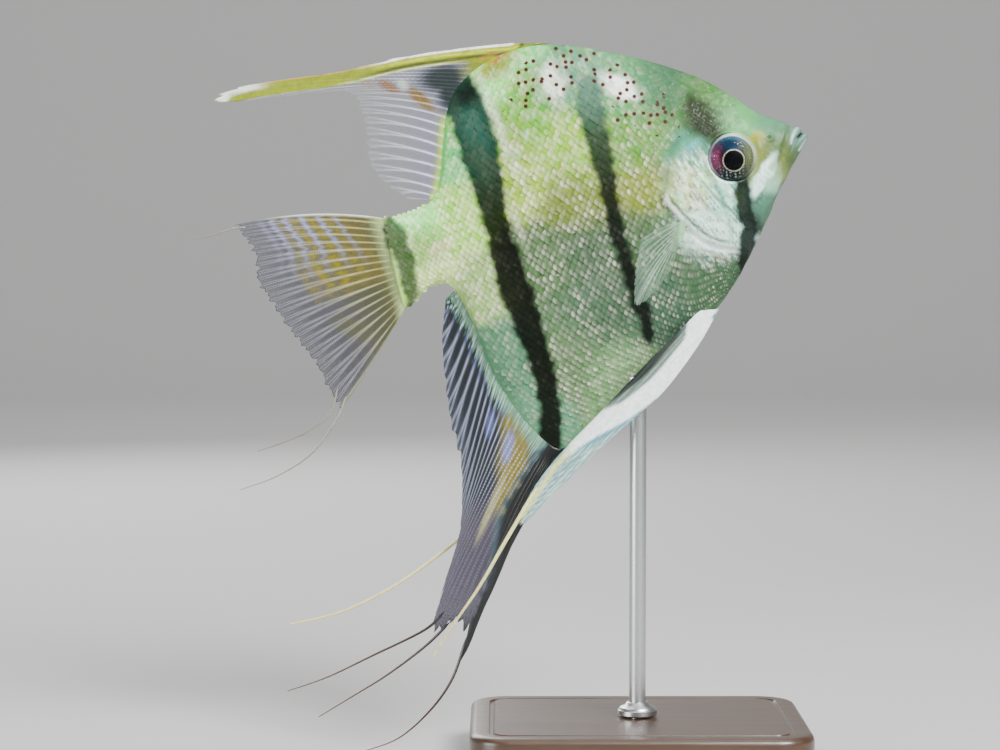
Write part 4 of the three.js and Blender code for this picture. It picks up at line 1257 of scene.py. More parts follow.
    def dress(self, piece: bpy.types.Object, x: Array, z: Array, points: Array,
              dice: np.random.Generator, side: int) -> None:
        """Writes markings and maps, and gives the scales their finish."""
        count, per, _ = points.shape
        along, across, _, _, _ = self.template()
        flat = points.reshape(-1, 3) / self.body.fish.length
        mixed_x = 0.92 * flat[:, 0] + 0.08 * np.repeat(x, per)
        mixed_z = 0.92 * flat[:, 2] + 0.08 * np.repeat(z, per)
        self.markings.paint(mixed_x, mixed_z, points.reshape(-1, 3)[:, 1]).store_on(piece)
        store(piece, "Chance", np.repeat(dice.uniform(0, 1, count), per))
        place, rise = self.body.locate(x, z)
        loops = np.zeros(len(piece.data.loops), int)
        piece.data.loops.foreach_get("vertex_index", loops)
        owner, corner = loops // per, loops % per
        own_along = np.append(along, 0.5)[corner]
        own_across = np.append(across, 0.0)[corner]
        start = 0.02 if side < 0 else 0.52
        bake = np.stack([start + 0.46 * place[owner] + self.patch * (own_along - 0.5),
                         0.02 + 0.96 * rise[owner] + self.patch * own_across / 2], -1)
        for name, values in (("OFBake", bake), ("Lie", np.stack([own_along, (own_across + 1) / 2], -1))):
            layer = piece.data.uv_layers.new(name=name)
            layer.data.foreach_set("uv", values.astype(np.float32).ravel())
        piece.data.uv_layers.active = piece.data.uv_layers["OFBake"]
        smooth_shaded(piece, math.radians(60))
        finish_piece(piece, SkinFinish("scale_shine", 0.5, 0.0, 0.07, True).make(), "skin")


@dataclass(frozen=True)
class FinFinish:
    """Membrane and rays of a fin."""

    name: str
    bead_length: float = 0.42 * MM
    roughness: float = 0.38

    def make(self, ray_length: float) -> bpy.types.Material:
        """The finished material, for rays of about that length in metres."""
        shader = Shader(self.name)
        tint = shader.attribute("Tint", "Color")
        beaded = shader.attribute("Bead")
        run = shader.attribute("Run")
        wave = shader.maths("SINE", shader.maths("MULTIPLY", run, 2 * math.pi * ray_length / self.bead_length))
        bead = shader.maths("MULTIPLY", shader.maths("MULTIPLY_ADD", wave, 0.5, 0.5), beaded)
        mottle = shader.ramp(shader.noise(1400, 3), (0.3, 0.74), (0.7, 1.0))
        colour = shader.mix(1.0, tint, mottle, "MULTIPLY")
        colour = shader.mix(shader.maths("MULTIPLY", bead, 0.5), colour, (0.8, 0.86, 1.0, 1), "SCREEN")
        normal = shader.bump(shader.noise(3000, 2), 0.2, 0.04 * MM)
        normal = shader.bump(bead, 0.4, 0.06 * MM, normal)
        made = shader.surface(
            Base_Color=colour,
            Alpha=shader.attribute("Veil"),
            Roughness=self.roughness,
            Coat_Weight=0.25,
            Coat_Roughness=0.15,
            Normal=normal,
        )
        made.surface_render_method = "BLENDED"
        return made


@dataclass(frozen=True)
class Place:
    """Places on a fin.

    Attributes:
        x: along the fish, in shares of its length.
        z: height in the same shares.
        across: share across the fin, from its front or top edge.
        along: share along the fin's rays.
        ray: 1 on a ray, 0 between rays.
    """

    x: Array
    z: Array
    across: Array
    along: Array
    ray: Array

    def oval(self, x: float, z: float, long: float, wide: float, turn: float, strength: float = 1.0) -> Array:
        """A soft oval of some strength."""
        return Patch(x, z, long, wide, turn, "", strength, 0.55).mask(self.x, self.z)


@dataclass(frozen=True)
class FinPaint:
    """Colour, opacity and beading of each place of a fin."""

    colour: Array
    veil: Array
    bead: Array


Painter = Callable[[Place], FinPaint]


@dataclass(frozen=True)
class Fin:
    """A fin of branching rays with thin membrane between them."""

    name: str
    fish: FishFrame
    rays: Line
    count: int
    bow: Callable[[Array], Array]
    away: Callable[[Array, Array], Array]
    painter: Painter
    slot: str
    inside: float = 1.8 * MM
    root_half: float = 0.5 * MM
    ray_half: float = 0.2 * MM
    membrane_half: float = 0.06 * MM
    forks: tuple[float, float] = (0.3, 0.65)
    columns_per_ray: int = 10
    rows: int = 70
    ray_length: float = 25 * MM
    notch: float = 0.03
    slim: float = 1.0

    def ray_at(self, across: Array, along: Array) -> Array:
        """1 on a ray and 0 between rays, for shares across the fin and along its rays."""
        cell = across * self.count
        gap = np.abs(cell - np.round(cell))
        first = 0.22 * smooth(self.forks[0], 1.0, along)
        second = 0.11 * smooth(self.forks[1], 1.15, along)
        split = np.abs(np.abs(gap - first) - second)
        return bell(split, self.slim * (0.15 - 0.085 * np.clip(along, 0, 1)))

    def sheet(self, across: Array, along: Array) -> tuple[Array, Array]:
        """Points of the fin's middle sheet in x and z, in metres, and its distance from the mid-plane."""
        row = curve_rows(self.rays, across) * self.fish.length
        root, tip = row[:, 0:2], row[:, 2:4]
        run = tip - root
        size = np.linalg.norm(run, axis=1)
        cell = across * self.count
        peak = 1 - 2 * np.abs(cell - np.round(cell))
        uneven = 0.6 * np.sin(np.round(cell) * 2.4) + 0.4 * np.sin(np.round(cell) * 5.1)
        teeth = 0.35 * np.sin(across * 173) + 0.3 * np.sin(across * 251)
        ragged = 1 + self.notch * ((peak - 0.8) * (1 + 0.7 * uneven) + teeth)
        share = np.where(along < 0, along * self.inside / np.maximum(size, 1e-6), along * ragged)
        bend = np.stack([-run[:, 1], run[:, 0]], -1) * self.bow(across)[:, None]
        flat = root + run * share[:, None] + bend * (4 * share * (1 - share))[:, None]
        return flat, self.away(across, np.maximum(share, 0))

    def shape(self, around: Array, up: Array) -> tuple[Array, dict[str, Array]]:
        """Points and attributes, with the grid wrapped round the fin's two faces."""
        across = 1 - np.abs(2 * around - 1)
        face = np.where(around < 0.5, -1.0, 1.0)
        along = up * 1.06 - 0.06
        along = np.where(along < 0, along / 0.06, along)
        flat, away = self.sheet(across, along)
        on = np.clip(along, 0, 1)
        ray = self.ray_at(across, on)
        thin = self.membrane_half + (self.ray_half * (1 - 0.55 * on) - self.membrane_half) * ray
        half = thin + (self.root_half - thin) * (1 - smooth(0.0, 0.14, on)) * 0.8
        rim = smooth(0, 0.012, across) * smooth(0, 0.012, 1 - across) * smooth(0, 0.02, 1 - up)
        half = half * (0.25 + 0.75 * rim)
        half = np.where((up >= 1 - 1e-6) | (up <= 1e-6) | (across < 1e-6) | (across > 1 - 1e-6), 0, half)
        points = np.stack([flat[:, 0], away + face * half, flat[:, 1]], -1)
        length = self.fish.length
        paint = self.painter(Place(flat[:, 0] / length, flat[:, 1] / length, across, on, ray))
        attributes = {
            "Tint": paint.colour, "Veil": np.clip(paint.veil, 0.02, 1), "Bead": paint.bead, "Run": on,
        }
        return self.fish.placed(points), attributes

    def build(self) -> None:
        """Builds the fin and dresses it."""
        columns = 2 * self.count * self.columns_per_ray
        piece = grid_piece(self.name + "_rays", columns, self.rows, self.shape)
        finish_piece(piece, FinFinish(self.name + "_finish").make(self.ray_length), self.slot, self.name)


def paint_dorsal(place: Place) -> FinPaint:
    """Lime and olive band with a white edge over a clear rear membrane with white rays."""
    x, z, along, ray = place.x, place.z, place.along, place.ray
    distance, _, _ = nearest_on([row[2:4] for row in DORSAL_RAYS[:7]], x, z)
    depth = distance * 75
    band = 1 - smooth(2.2, 2.7, depth)
    front = smooth(0.02, 0.14, x)
    rear = smooth(-0.16, -0.24, x)
    reach = smooth(0.9, 0.15, along)
    seal = np.maximum(place.oval(0.222, 0.385, 0.065, 0.036, -12), place.oval(0.232, 0.345, 0.042, 0.058, 0))
    lime = smooth(0.25, 0.3, x)
    colour = layered(
        plain("6a6d78", len(x)),
        (reach * 0.6, "7d80a0"),
        (ray, "cfcfe4"),
        (place.oval(0.155, 0.355, 0.045, 0.015, -58, 0.95), "7a5c00"),
        (place.oval(0.092, 0.405, 0.03, 0.012, -40, 0.9), "7d5200"),
        (place.oval(0.045, 0.425, 0.02, 0.008, -30, 0.8), "8f6a12"),
        (place.oval(0.125, 0.40, 0.014, 0.010, -50, 0.8), "cfe6dc"),
        (smooth(0.13, 0.02, along) * smooth(0.6, 0.7, place.across) * 0.8, "a9c43c"),
        (seal * 0.97, "0c1c17"),
        (lime, "6f7a0c"),
        (lime * place.oval(0.33, 0.375, 0.05, 0.01, 25), "8f5a10"),
        (band, "8a960e"),
        (band * bell(depth - 0.95, 0.35) * front, "b9c424"),
        (band * bell(depth - 1.75, 0.4) * smooth(0.0, 0.1, x), "3f4a04"),
        (band * bell(depth - 2.35, 0.22) * smooth(0.3, 0.2, x) * smooth(-0.05, 0.05, x), "dfe8b8"),
        (band * smooth(0.55, 0.3, depth) * smooth(0.02, 0.12, x), "f8fbf0"),
        (band * smooth(0.3, 0.1, depth) * (1 - front) * 0.8, "c99a52"),
        (band * bell(depth - 1.2, 0.5) * (1 - front) * 0.5, "7d8a2a"),
        (band * smooth(1.5, 0.6, depth) * rear, "eef4e4"),
        (band * smooth(0.2, 0.9, wander(x * 0.6, z, 0.03, 22)) * 0.35, "6f7414"),
        (place.oval(0.34, 0.405, 0.03, 0.007, 8, 0.35), "a8741e"),
    )
    clear = 0.1 + 0.3 * smooth(0.6, 0.0, along) + 0.6 * ray * smooth(1.0, 0.2, along)
    gold = place.oval(0.155, 0.355, 0.045, 0.013, -58) + place.oval(0.092, 0.405, 0.03, 0.011, -40)
    veil = np.maximum(clear, 0.8 * np.clip(gold, 0, 1))
    veil = np.maximum(np.maximum(veil, band * 0.98), np.maximum(np.maximum(seal, lime), smooth(0.14, 0.0, along)))
    return FinPaint(colour, veil, ray * (1 - band) * (1 - seal) * (1 - lime))


def paint_anal(place: Place) -> FinPaint:
    """Black front band, gold and lavender patches, beaded blue rays on navy and a mauve tip."""
    x, z, along, ray = place.x, place.z, place.along, place.ray
    front = [row[2:4] for row in ANAL_RAYS[:6]]
    distance, _, _ = nearest_on(front, x, z)
    depth = distance * 75
    spans = [math.hypot(row[2] - row[0], row[3] - row[1]) for row in ANAL_RAYS]
    out = along * np.interp(place.across, np.linspace(0, 1, len(spans)), spans)
    fringe = out + 0.012 * wander(place.across * 14, along * 0.3, 0.1, 27)
    low = smooth(-0.56, -0.66, z)
    width = 1.5 + 3.4 * smooth(-0.8, -0.6, z)
    dark = np.maximum(1 - smooth(width - 0.5, width + 0.5, depth + 0.4 * wander(x, z, 0.04, 25)),
                      smooth(-0.82, -0.9, z)) * smooth(0.3, 0.24, x)
    gold = np.clip(place.oval(0.145, -0.45, 0.065, 0.034, 74) + place.oval(0.112, -0.53, 0.06, 0.034, 64)
                   + place.oval(0.075, -0.60, 0.055, 0.026, 54), 0, 1)
    gold = gold * (0.75 + 0.25 * smooth(-0.5, 0.5, wander(x, z, 0.02, 26)))
    colour = layered(
        plain("0a1119", len(x)),
        (smooth(0.5, 0.95, along) * 0.6, "232a36"),
        (low * 0.85, "453d4c"),
        (0.85 * ray * (1 - low * 0.7), "34436e"),
        (smooth(0.4, 0.1, along) * ray * 0.6, "5a6ea4"),
        (gold * (1 - 0.15 * ray), "7c7006"),
        (place.oval(0.11, -0.495, 0.038, 0.012, 62, 0.8), "6a74b4"),
        (place.oval(0.085, -0.43, 0.03, 0.01, 66, 0.6), "56609c"),
        (place.oval(0.135, -0.38, 0.04, 0.009, 72, 0.6), "355a94"),
        (place.oval(0.03, -0.62, 0.08, 0.008, 50, 0.8), "a09c70"),
        (smooth(0.035, 0.012, fringe), "628d74"),
        (smooth(0.05, 0.02, fringe) * smooth(0.2, 0.9, wander(place.across * 30, along * 0.2, 0.1, 28)),
         "a4ccb4"),
        (dark, "05090a"),
        (bell(depth - width, 0.5) * smooth(-0.85, -0.7, z) * 0.5, "44606a"),
    )
    veil = 0.9 + 0.1 * ray - 0.2 * smooth(0.6, 1.0, along) * (1 - ray)
    veil = np.maximum(veil, np.maximum(dark, smooth(0.15, 0.0, along)))
    return FinPaint(colour, veil, ray * (1 - dark) * smooth(0.04, 0.07, out) * (0.9 - 0.65 * low))


def paint_caudal(place: Place) -> FinPaint:
    """Gold blotches in arcs crossed by lavender bars, yellow-white rays and a grey-mauve margin."""
    across, along, ray = place.across, place.along, place.ray
    swing = along + 0.16 * smooth(0.0, 0.45, across) * (1 - along) + 0.012 * wander(across * 8, along, 0.3, 32)
    arcs = sum(weight * bell(swing - at, 0.042) for at, weight in
               ((0.29, 0.4), (0.40, 0.75), (0.515, 1.0), (0.635, 1.0), (0.735, 0.6)))
    bars = sum(weight * bell(swing - at, 0.017) for at, weight in
               ((0.345, 0.5), (0.458, 0.9), (0.575, 1.0), (0.69, 1.0), (0.78, 0.8), (0.85, 0.4)))
    upper = smooth(0.62, 0.5, across) * smooth(0.0, 0.04, across)
    lower = smooth(0.5, 0.72, across)
    blotch = 0.4 + 0.6 * smooth(-0.7, 0.2, wander(across * 2.4, along, 0.12, 31))
    base = smooth(0.62, 0.3, along)
    gap = (1 - ray) * smooth(0.1, 0.2, along)
    colour = layered(
        plain("4a4950", len(along)),
        (base * 0.85, "50521f"),
        (base * gap * smooth(0.08, 0.3, across) * 0.5, "2c3022"),
        (base * upper * gap * 0.6, "5c4c04"),
        (lower * smooth(0.2, 0.6, along) * 0.6, "403e44"),
        (lower * place.oval(-0.16, -0.115, 0.05, 0.022, -40, 0.5), "4f5010"),
        (ray * (0.85 - 0.4 * lower) * smooth(0.75, 0.3, along), "b4b26a"),
        (ray * 0.4 * smooth(0.5, 0.8, along), "6c6a76"),
        (np.clip(arcs, 0, 1) * upper * blotch * (1 - 0.15 * ray), "7a7000"),
        (np.clip(bars, 0, 1) * upper * smooth(0.5, 0.1, across), "9095b8"),
        (smooth(0.035, 0.0, across) * smooth(0.9, 0.5, along), "f2f7ec"),
        (smooth(0.965, 1.0, across) * 0.8, "7f8350"),
        (smooth(0.15, 0.02, along), "a8bc7c"),
    )
    mask = BARS[-1].mask(place.x, place.z)
    colour = layered(colour, (mask, "14301a"))
    veil = 0.75 + 0.25 * ray - 0.3 * smooth(0.7, 1.0, along) * (1 - ray)
    veil = np.maximum(veil, np.maximum(np.clip(arcs, 0, 1) * upper * 0.95, np.clip(bars, 0, 1) * upper * 0.85))
    veil = np.maximum(np.maximum(veil, smooth(0.25, 0.0, along)), mask)
    return FinPaint(colour, veil, ray * 0.4 * smooth(0.15, 0.3, along))


def paint_pelvic(place: Place) -> FinPaint:
    """Brilliant white along the spine, with a cyan lower rim, a dotted half-clear rear, and painted shade on the body
    side that ends in a painted dark shadow where the fin meets the body.
    """
    x, z, across, along, ray = place.x, place.z, place.across, place.along, place.ray
    distance, side, share = nearest_on(SPINE_LINE, x, z)
    half = np.interp(share, np.linspace(0, 1, len(SPINE_LINE)), [row[2] for row in SPINE_LINE])
    # Where painted shade lies: the body side of the spine's front part.
    inside = (side < 0) * smooth(0.02, 0.1, share) * smooth(0.5, 0.34, share)
    outer = distance - half - 0.03 * smooth(0.7, 0.55, share) * (side < 0) * (1 - inside)
    spine = 1 - smooth(-0.004, 0.004, outer)
    dots = smooth(-0.2, 0.7, wander(x * 3, z * 3, 0.03, 41))
    colour = layered(
        plain("7aa6a4", len(x)),
        (dots * 0.85, "d0eae0"),
        (smooth(0.03, 0.06, distance) * 0.4, "86c4d0"),
        (bell(distance - half - 0.004, 0.005) * (side > 0) * smooth(0.75, 0.55, share), "4f9ab0"),
        # Painted shade on the body side, with pale rays in it.
        (inside * smooth(half - 0.003, half + 0.004, distance), "62756c"),
        (inside * ray * 0.6, "a9bcb0"),
        # Painted shadow where the fin meets the body.
        (inside * smooth(half + 0.012, half + 0.02, distance), "1a2620"),
        (spine, "f4fffa"),
        (spine * smooth(0.6, 0.75, share), "d2da84"),
    )
    veil = 0.6 + 0.3 * np.maximum(ray, dots)
    veil = np.maximum(veil, np.maximum(spine, inside))
    return FinPaint(colour, veil, ray * 0.5 * (1 - spine) * (1 - inside))


def paint_pectoral(place: Place) -> FinPaint:
    """Almost clear, with pale green rays and a green streak at the root."""
    along, ray = place.along, place.ray
    colour = layered(plain("6d9078", len(along)), (0.8 * ray, "9cc09c"), (smooth(0.25, 0.0, along), "84b880"))
    veil = 0.2 + 0.4 * ray * smooth(1.05, 0.3, along)
    return FinPaint(colour, np.maximum(veil, smooth(0.16, 0.0, along)), ray * 0.3)


@dataclass(frozen=True)
class Filaments:
    """Trailing threads of one fin, joined to one piece with tapering round sections."""

    name: str
    fish: FishFrame
    lines: Sequence[Line]
    side: int
    radius: float
    tip: float
    colours: tuple[str, str]
    slot: str
    steps: int = 36
    facets: int = 10

    def thread(self, line: Line) -> bpy.types.Object:
        """One thread along a line of x, z and distance from the mid-plane in mm."""
        points = curve_rows(line, np.linspace(0, 1, self.steps + 1))
        flat = np.stack([points[:, 0] * self.fish.length, self.side * points[:, 2] * MM,
                         points[:, 1] * self.fish.length], -1)
        curve = bpy.data.curves.new(self.name + "_path", "CURVE")
        curve.dimensions = "3D"
        curve.bevel_depth = 1.0
        curve.bevel_resolution = 2
        curve.use_fill_caps = True
        spline = curve.splines.new("POLY")
        spline.points.add(self.steps)
        grown = smooth(-0.03, 0.1, np.linspace(0, 1, self.steps + 1))
        for k, point in enumerate(self.fish.placed(flat)):
            spline.points[k].co = (*point, 1)
            share = k / self.steps
            spline.points[k].radius = (self.radius * (1 - share) + self.tip * share) * grown[k]
        piece = bpy.data.objects.new(self.name, curve)
        bpy.context.scene.collection.objects.link(piece)
        make_active(piece)
        bpy.ops.object.convert(target="MESH")
        made = bpy.context.object
        where = np.zeros(len(made.data.vertices) * 3)
        made.data.vertices.foreach_get("co", where)
        gap = np.linalg.norm(where.reshape(-1, 1, 3) - self.fish.placed(flat)[None], axis=2)
        share = gap.argmin(1) / self.steps
        first, last = (linear(code) for code in self.colours)
        store(made, "Tint", first + (last - first) * smooth(0.0, 0.8, share)[:, None])
        store(made, "Veil", np.ones(len(share)))
        store(made, "Bead", np.zeros(len(share)))
        store(made, "Run", share)
        return made

    def build(self) -> None:
        """Builds the threads as one piece and dresses them."""
        threads = [self.thread(line) for line in self.lines]
        deselect()
        for thread in threads:
            thread.select_set(True)
        bpy.context.view_layer.objects.active = threads[0]
        if len(threads) > 1:
            bpy.ops.object.join()
        piece = bpy.context.object
        piece.name = self.name
        smooth_shaded(piece)
        finish_piece(piece, FinFinish(self.name + "_finish").make(12 * MM), self.slot)


@dataclass(frozen=True)
class Eye:
    """An eyeball with iris, pupil and a clear cornea."""

    body: Body
    side: int
    radius: float = 4.6 * MM
    depth: float = 2.6 * MM
    pupil: float = 1.76 * MM
    pupil_shift: tuple[float, float] = (0.06 * MM, -0.55 * MM)
    iris: float = 3.78 * MM

    def middle(self) -> Vector:
        """The middle of the CAD's eyeball."""
        low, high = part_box("eye_left" if self.side > 0 else "eye_right")
        return (low + high) / 2

    def turned_in(self, points: Array) -> Array:
        """Points about the line of sight, turned with the head and moved to the eye's middle."""
        turn = np.array(Matrix.Rotation(-self.body.fish.pitch, 3, "Y"))
        return points @ turn.T + np.array(self.middle())

    def front(self, out: Array) -> Array:
        """How far the eyeball stands out at a distance from the line of sight."""
        return self.depth * np.sqrt(np.clip(1 - (out / self.radius) ** 3.2, 0, 1))

    def ball(self, around: Array, up: Array) -> tuple[Array, dict[str, Array]]:
        """Points of the eyeball, drawn about the line of sight, and its colours."""
        angle = around * 2 * math.pi
        out = np.sin(np.clip(up, 0, 1) * math.pi) * self.radius
        depth = self.front(out)
        x, z = out * np.cos(angle), out * np.sin(angle)
        gap = np.hypot(x - self.pupil_shift[0], z - self.pupil_shift[1])
        dish = -0.2 * MM * bell(gap - 2.6 * MM, 0.8 * MM) + 0.08 * MM * bell(gap, self.pupil)
        rim = 0.1 * MM * bell(out - self.iris - 0.2 * MM, 0.25 * MM)
        front = np.where(up < 0.5, depth + dish + rim - 0.3 * MM, -depth)
        points = np.stack([x, self.side * front, z], -1)
        colour, gloss = self.paint(x, z, out, gap)
        return self.turned_in(points), {"Tint": colour, "Gloss": gloss}

    def paint(self, x: Array, z: Array, out: Array, gap: Array) -> tuple[Array, Array]:
        """Colours of the iris, pupil and rim, and how metallic they are."""
        share = out / self.iris
        angle = np.degrees(np.arctan2(z, x))

        def toward(middle: float, width: float) -> Array:
            """1 towards a direction in degrees, falling off to each side."""
            return bell((angle - middle + 180) % 360 - 180, width)

        flecks = smooth(0.25, 0.9, wander(x / MM, z / MM, 0.7, 51))
        streak = smooth(0.0, 1.0, wander(angle / 9, share * 3, 2.2, 52))
        outer = smooth(0.55, 0.72, share)
        top = toward(80, 46)
        rear = toward(168, 36)
        front = toward(-15, 48)
        low = toward(-108, 40)
        rim = smooth(0.97, 1.04, share)
        colour = layered(
            plain("141b22", len(x)),
            (top, "0e2c44"),
            (top * smooth(0.78, 0.95, share), "28586a"),
            (rear * smooth(0.42, 0.6, share), "561632"),
            (rear * (0.3 + 0.4 * streak) * outer, "9a5c80"),
            (low * 0.7, "12181a"),
            (low * flecks * smooth(0.5, 0.7, share), "8fa09c"),
            (front * smooth(0.5, 0.7, share) * 0.85, "5e6846"),
            (front * flecks * 0.5 * outer, "88907a"),
            (rim, "26302e"),
            (rim * toward(165, 40), "b9a6c4"),
            (rim * toward(72, 48), "cfe0d4"),
            (rim * toward(0, 46), "b2bc9c"),
            (bell(gap - self.pupil - 0.11 * MM, 0.065 * MM), "cbc6a6"),
            (smooth(self.pupil + 0.06 * MM, self.pupil - 0.02 * MM, gap), "010206"),
        )
        gloss = 0.3 * smooth(1.8 * MM, 1.95 * MM, gap)
        return colour, gloss

    def cornea(self, around: Array, up: Array) -> tuple[Array, dict[str, Array]]:
        """Points of the clear cap over the iris."""
        angle = around * 2 * math.pi
        share = np.sin(up * math.pi)
        out = share * self.iris * 1.08
        swell = 0.3 * (1 - share**2) ** 1.5 + 0.02 - 0.4 * smooth(0.88, 1, share)
        front = self.front(out) + np.where(up < 0.5, swell, -0.38 - 0.5 * (1 - share**4)) * MM
        return self.turned_in(np.stack([out * np.cos(angle), self.side * front, out * np.sin(angle)], -1)), {}

    def iris_finish(self) -> bpy.types.Material:
        """Painted iris with fine flecks."""
        shader = Shader("iris")
        mottle = shader.ramp(shader.noise(3500, 3), (0.3, 0.6), (0.7, 1.0))
        colour = shader.mix(1.0, shader.attribute("Tint", "Color"), mottle, "MULTIPLY")
        return shader.surface(
            Base_Color=colour,
            Metallic=shader.attribute("Gloss"),
            Roughness=0.45,
            Specular_IOR_Level=0.06,
            Normal=shader.bump(shader.noise(4500, 2), 0.3, 0.05 * MM),
        )

    def cornea_finish(self) -> bpy.types.Material:
        """Clear and glossy."""
        shader = Shader("cornea")
        facing = shader.maths("MULTIPLY", shader.node("Fresnel", {"IOR": 1.36}).outputs[0], 0.22)
        gloss = shader.node("BsdfGlossy", {"Roughness": 0.06})
        clear = shader.node("BsdfTransparent")
        mixed = shader.node("MixShader", {0: facing, 1: clear.outputs[0], 2: gloss.outputs[0]})
        shader.node("OutputMaterial", {"Surface": mixed.outputs[0]})
        shader.material.surface_render_method = "BLENDED"
        return shader.material

    def build(self) -> None:
        """Builds the eyeball and its cornea."""
        name = "left" if self.side > 0 else "right"
        ball = grid_piece("eyeball_" + name, 144, 96, self.ball)
        finish_piece(ball, self.iris_finish(), "eye", "eye_" + name)
        cap = grid_piece("cornea_" + name, 64, 32, self.cornea)
        finish_piece(cap, self.cornea_finish(), "eye")


@dataclass(frozen=True)
class WoodFinish:
    """Dark stained wood with a satin varnish."""

    dark: tuple[float, float, float] = (0.022, 0.011, 0.006)
    light: tuple[float, float, float] = (0.085, 0.042, 0.021)

    def make(self) -> bpy.types.Material:
        """The finished material, its grain along X."""
        shader = Shader("stained_wood")
        grain = shader.node("Mapping", {"Vector": shader.place(), "Scale": (0.09, 1.0, 1.0)}).outputs[0]
        bands = shader.noise(260, 5, grain, 0.6)
        pores = shader.ramp(shader.noise(1800, 3, grain, 0.7), (0.45, 0.0), (0.62, 1.0))
        colour = shader.mix(bands, (*self.dark, 1), (*self.light, 1))
        colour = shader.mix(shader.maths("MULTIPLY", pores, 0.35), colour, (*self.dark, 1))
        normal = shader.bump(pores, 0.2, 0.05 * MM)
        return shader.surface(
            Base_Color=colour,
            Roughness=shader.maths("MULTIPLY_ADD", bands, 0.16, 0.3),
            Coat_Weight=0.5,
            Coat_Roughness=0.22,
            Normal=normal,
        )


@dataclass(frozen=True)
class SteelFinish:
    """Brushed steel."""

    def make(self) -> bpy.types.Material:
        """The finished material, brushed round the rod."""
        shader = Shader("brushed_steel")
        lines = shader.node("Mapping", {"Vector": shader.place(), "Scale": (1.0, 1.0, 14.0)}).outputs[0]
        brush = shader.noise(900, 3, lines, 0.6)
        return shader.surface(
            Base_Color=(0.56, 0.57, 0.58, 1),
            Metallic=1.0,
            Roughness=shader.maths("MULTIPLY_ADD", brush, 0.22, 0.2),
            Normal=shader.bump(brush, 0.12, 0.02 * MM),
        )


@dataclass(frozen=True)
class FeltFinish:
    """Dark felt or silicone that touches the fish and the shelf."""

    name: str
    colour: tuple[float, float, float]

    def make(self) -> bpy.types.Material:
        """The finished material, with a short nap."""
        shader = Shader(self.name)
        nap = shader.noise(4000, 3)
        colour = shader.mix(nap, (*self.colour, 1), tuple(min(3 * c, 1) for c in self.colour) + (1,))
        return shader.surface(
            Base_Color=colour, Roughness=0.95, Sheen_Weight=0.4, Normal=shader.bump(nap, 0.6, 0.08 * MM)
        )


def turned(name: str, profile: Line, middle: Vector, steps: int = 64) -> bpy.types.Object:
    """A round piece turned about a vertical axis.

    Args:
        name: the piece's name.
        profile: radius and height pairs, in metres, from the axis round to the axis.
        middle: where the axis meets height zero.
        steps: how many strips go round it.

    Returns:
        The turned piece, closed on its axis.
    """
    deselect()
    mesh = bpy.data.meshes.new(name)
    points = [(middle.x + r, middle.y, middle.z + h) for r, h in profile]
    mesh.from_pydata(points, [(i, i + 1) for i in range(len(points) - 1)], [])
    piece = bpy.data.objects.new(name, mesh)
    bpy.context.scene.collection.objects.link(piece)
    make_active(piece)
    bpy.ops.object.mode_set(mode="EDIT")
    bpy.ops.mesh.select_all(action="SELECT")
    bpy.ops.mesh.spin(steps=steps, angle=2 * math.pi, center=middle, axis=(0, 0, 1))
    bpy.ops.mesh.select_all(action="SELECT")
    bpy.ops.mesh.remove_doubles(threshold=1e-6)
    bpy.ops.mesh.normals_make_consistent(inside=False)
    bpy.ops.object.mode_set(mode="OBJECT")
    smooth_shaded(piece)
    return piece


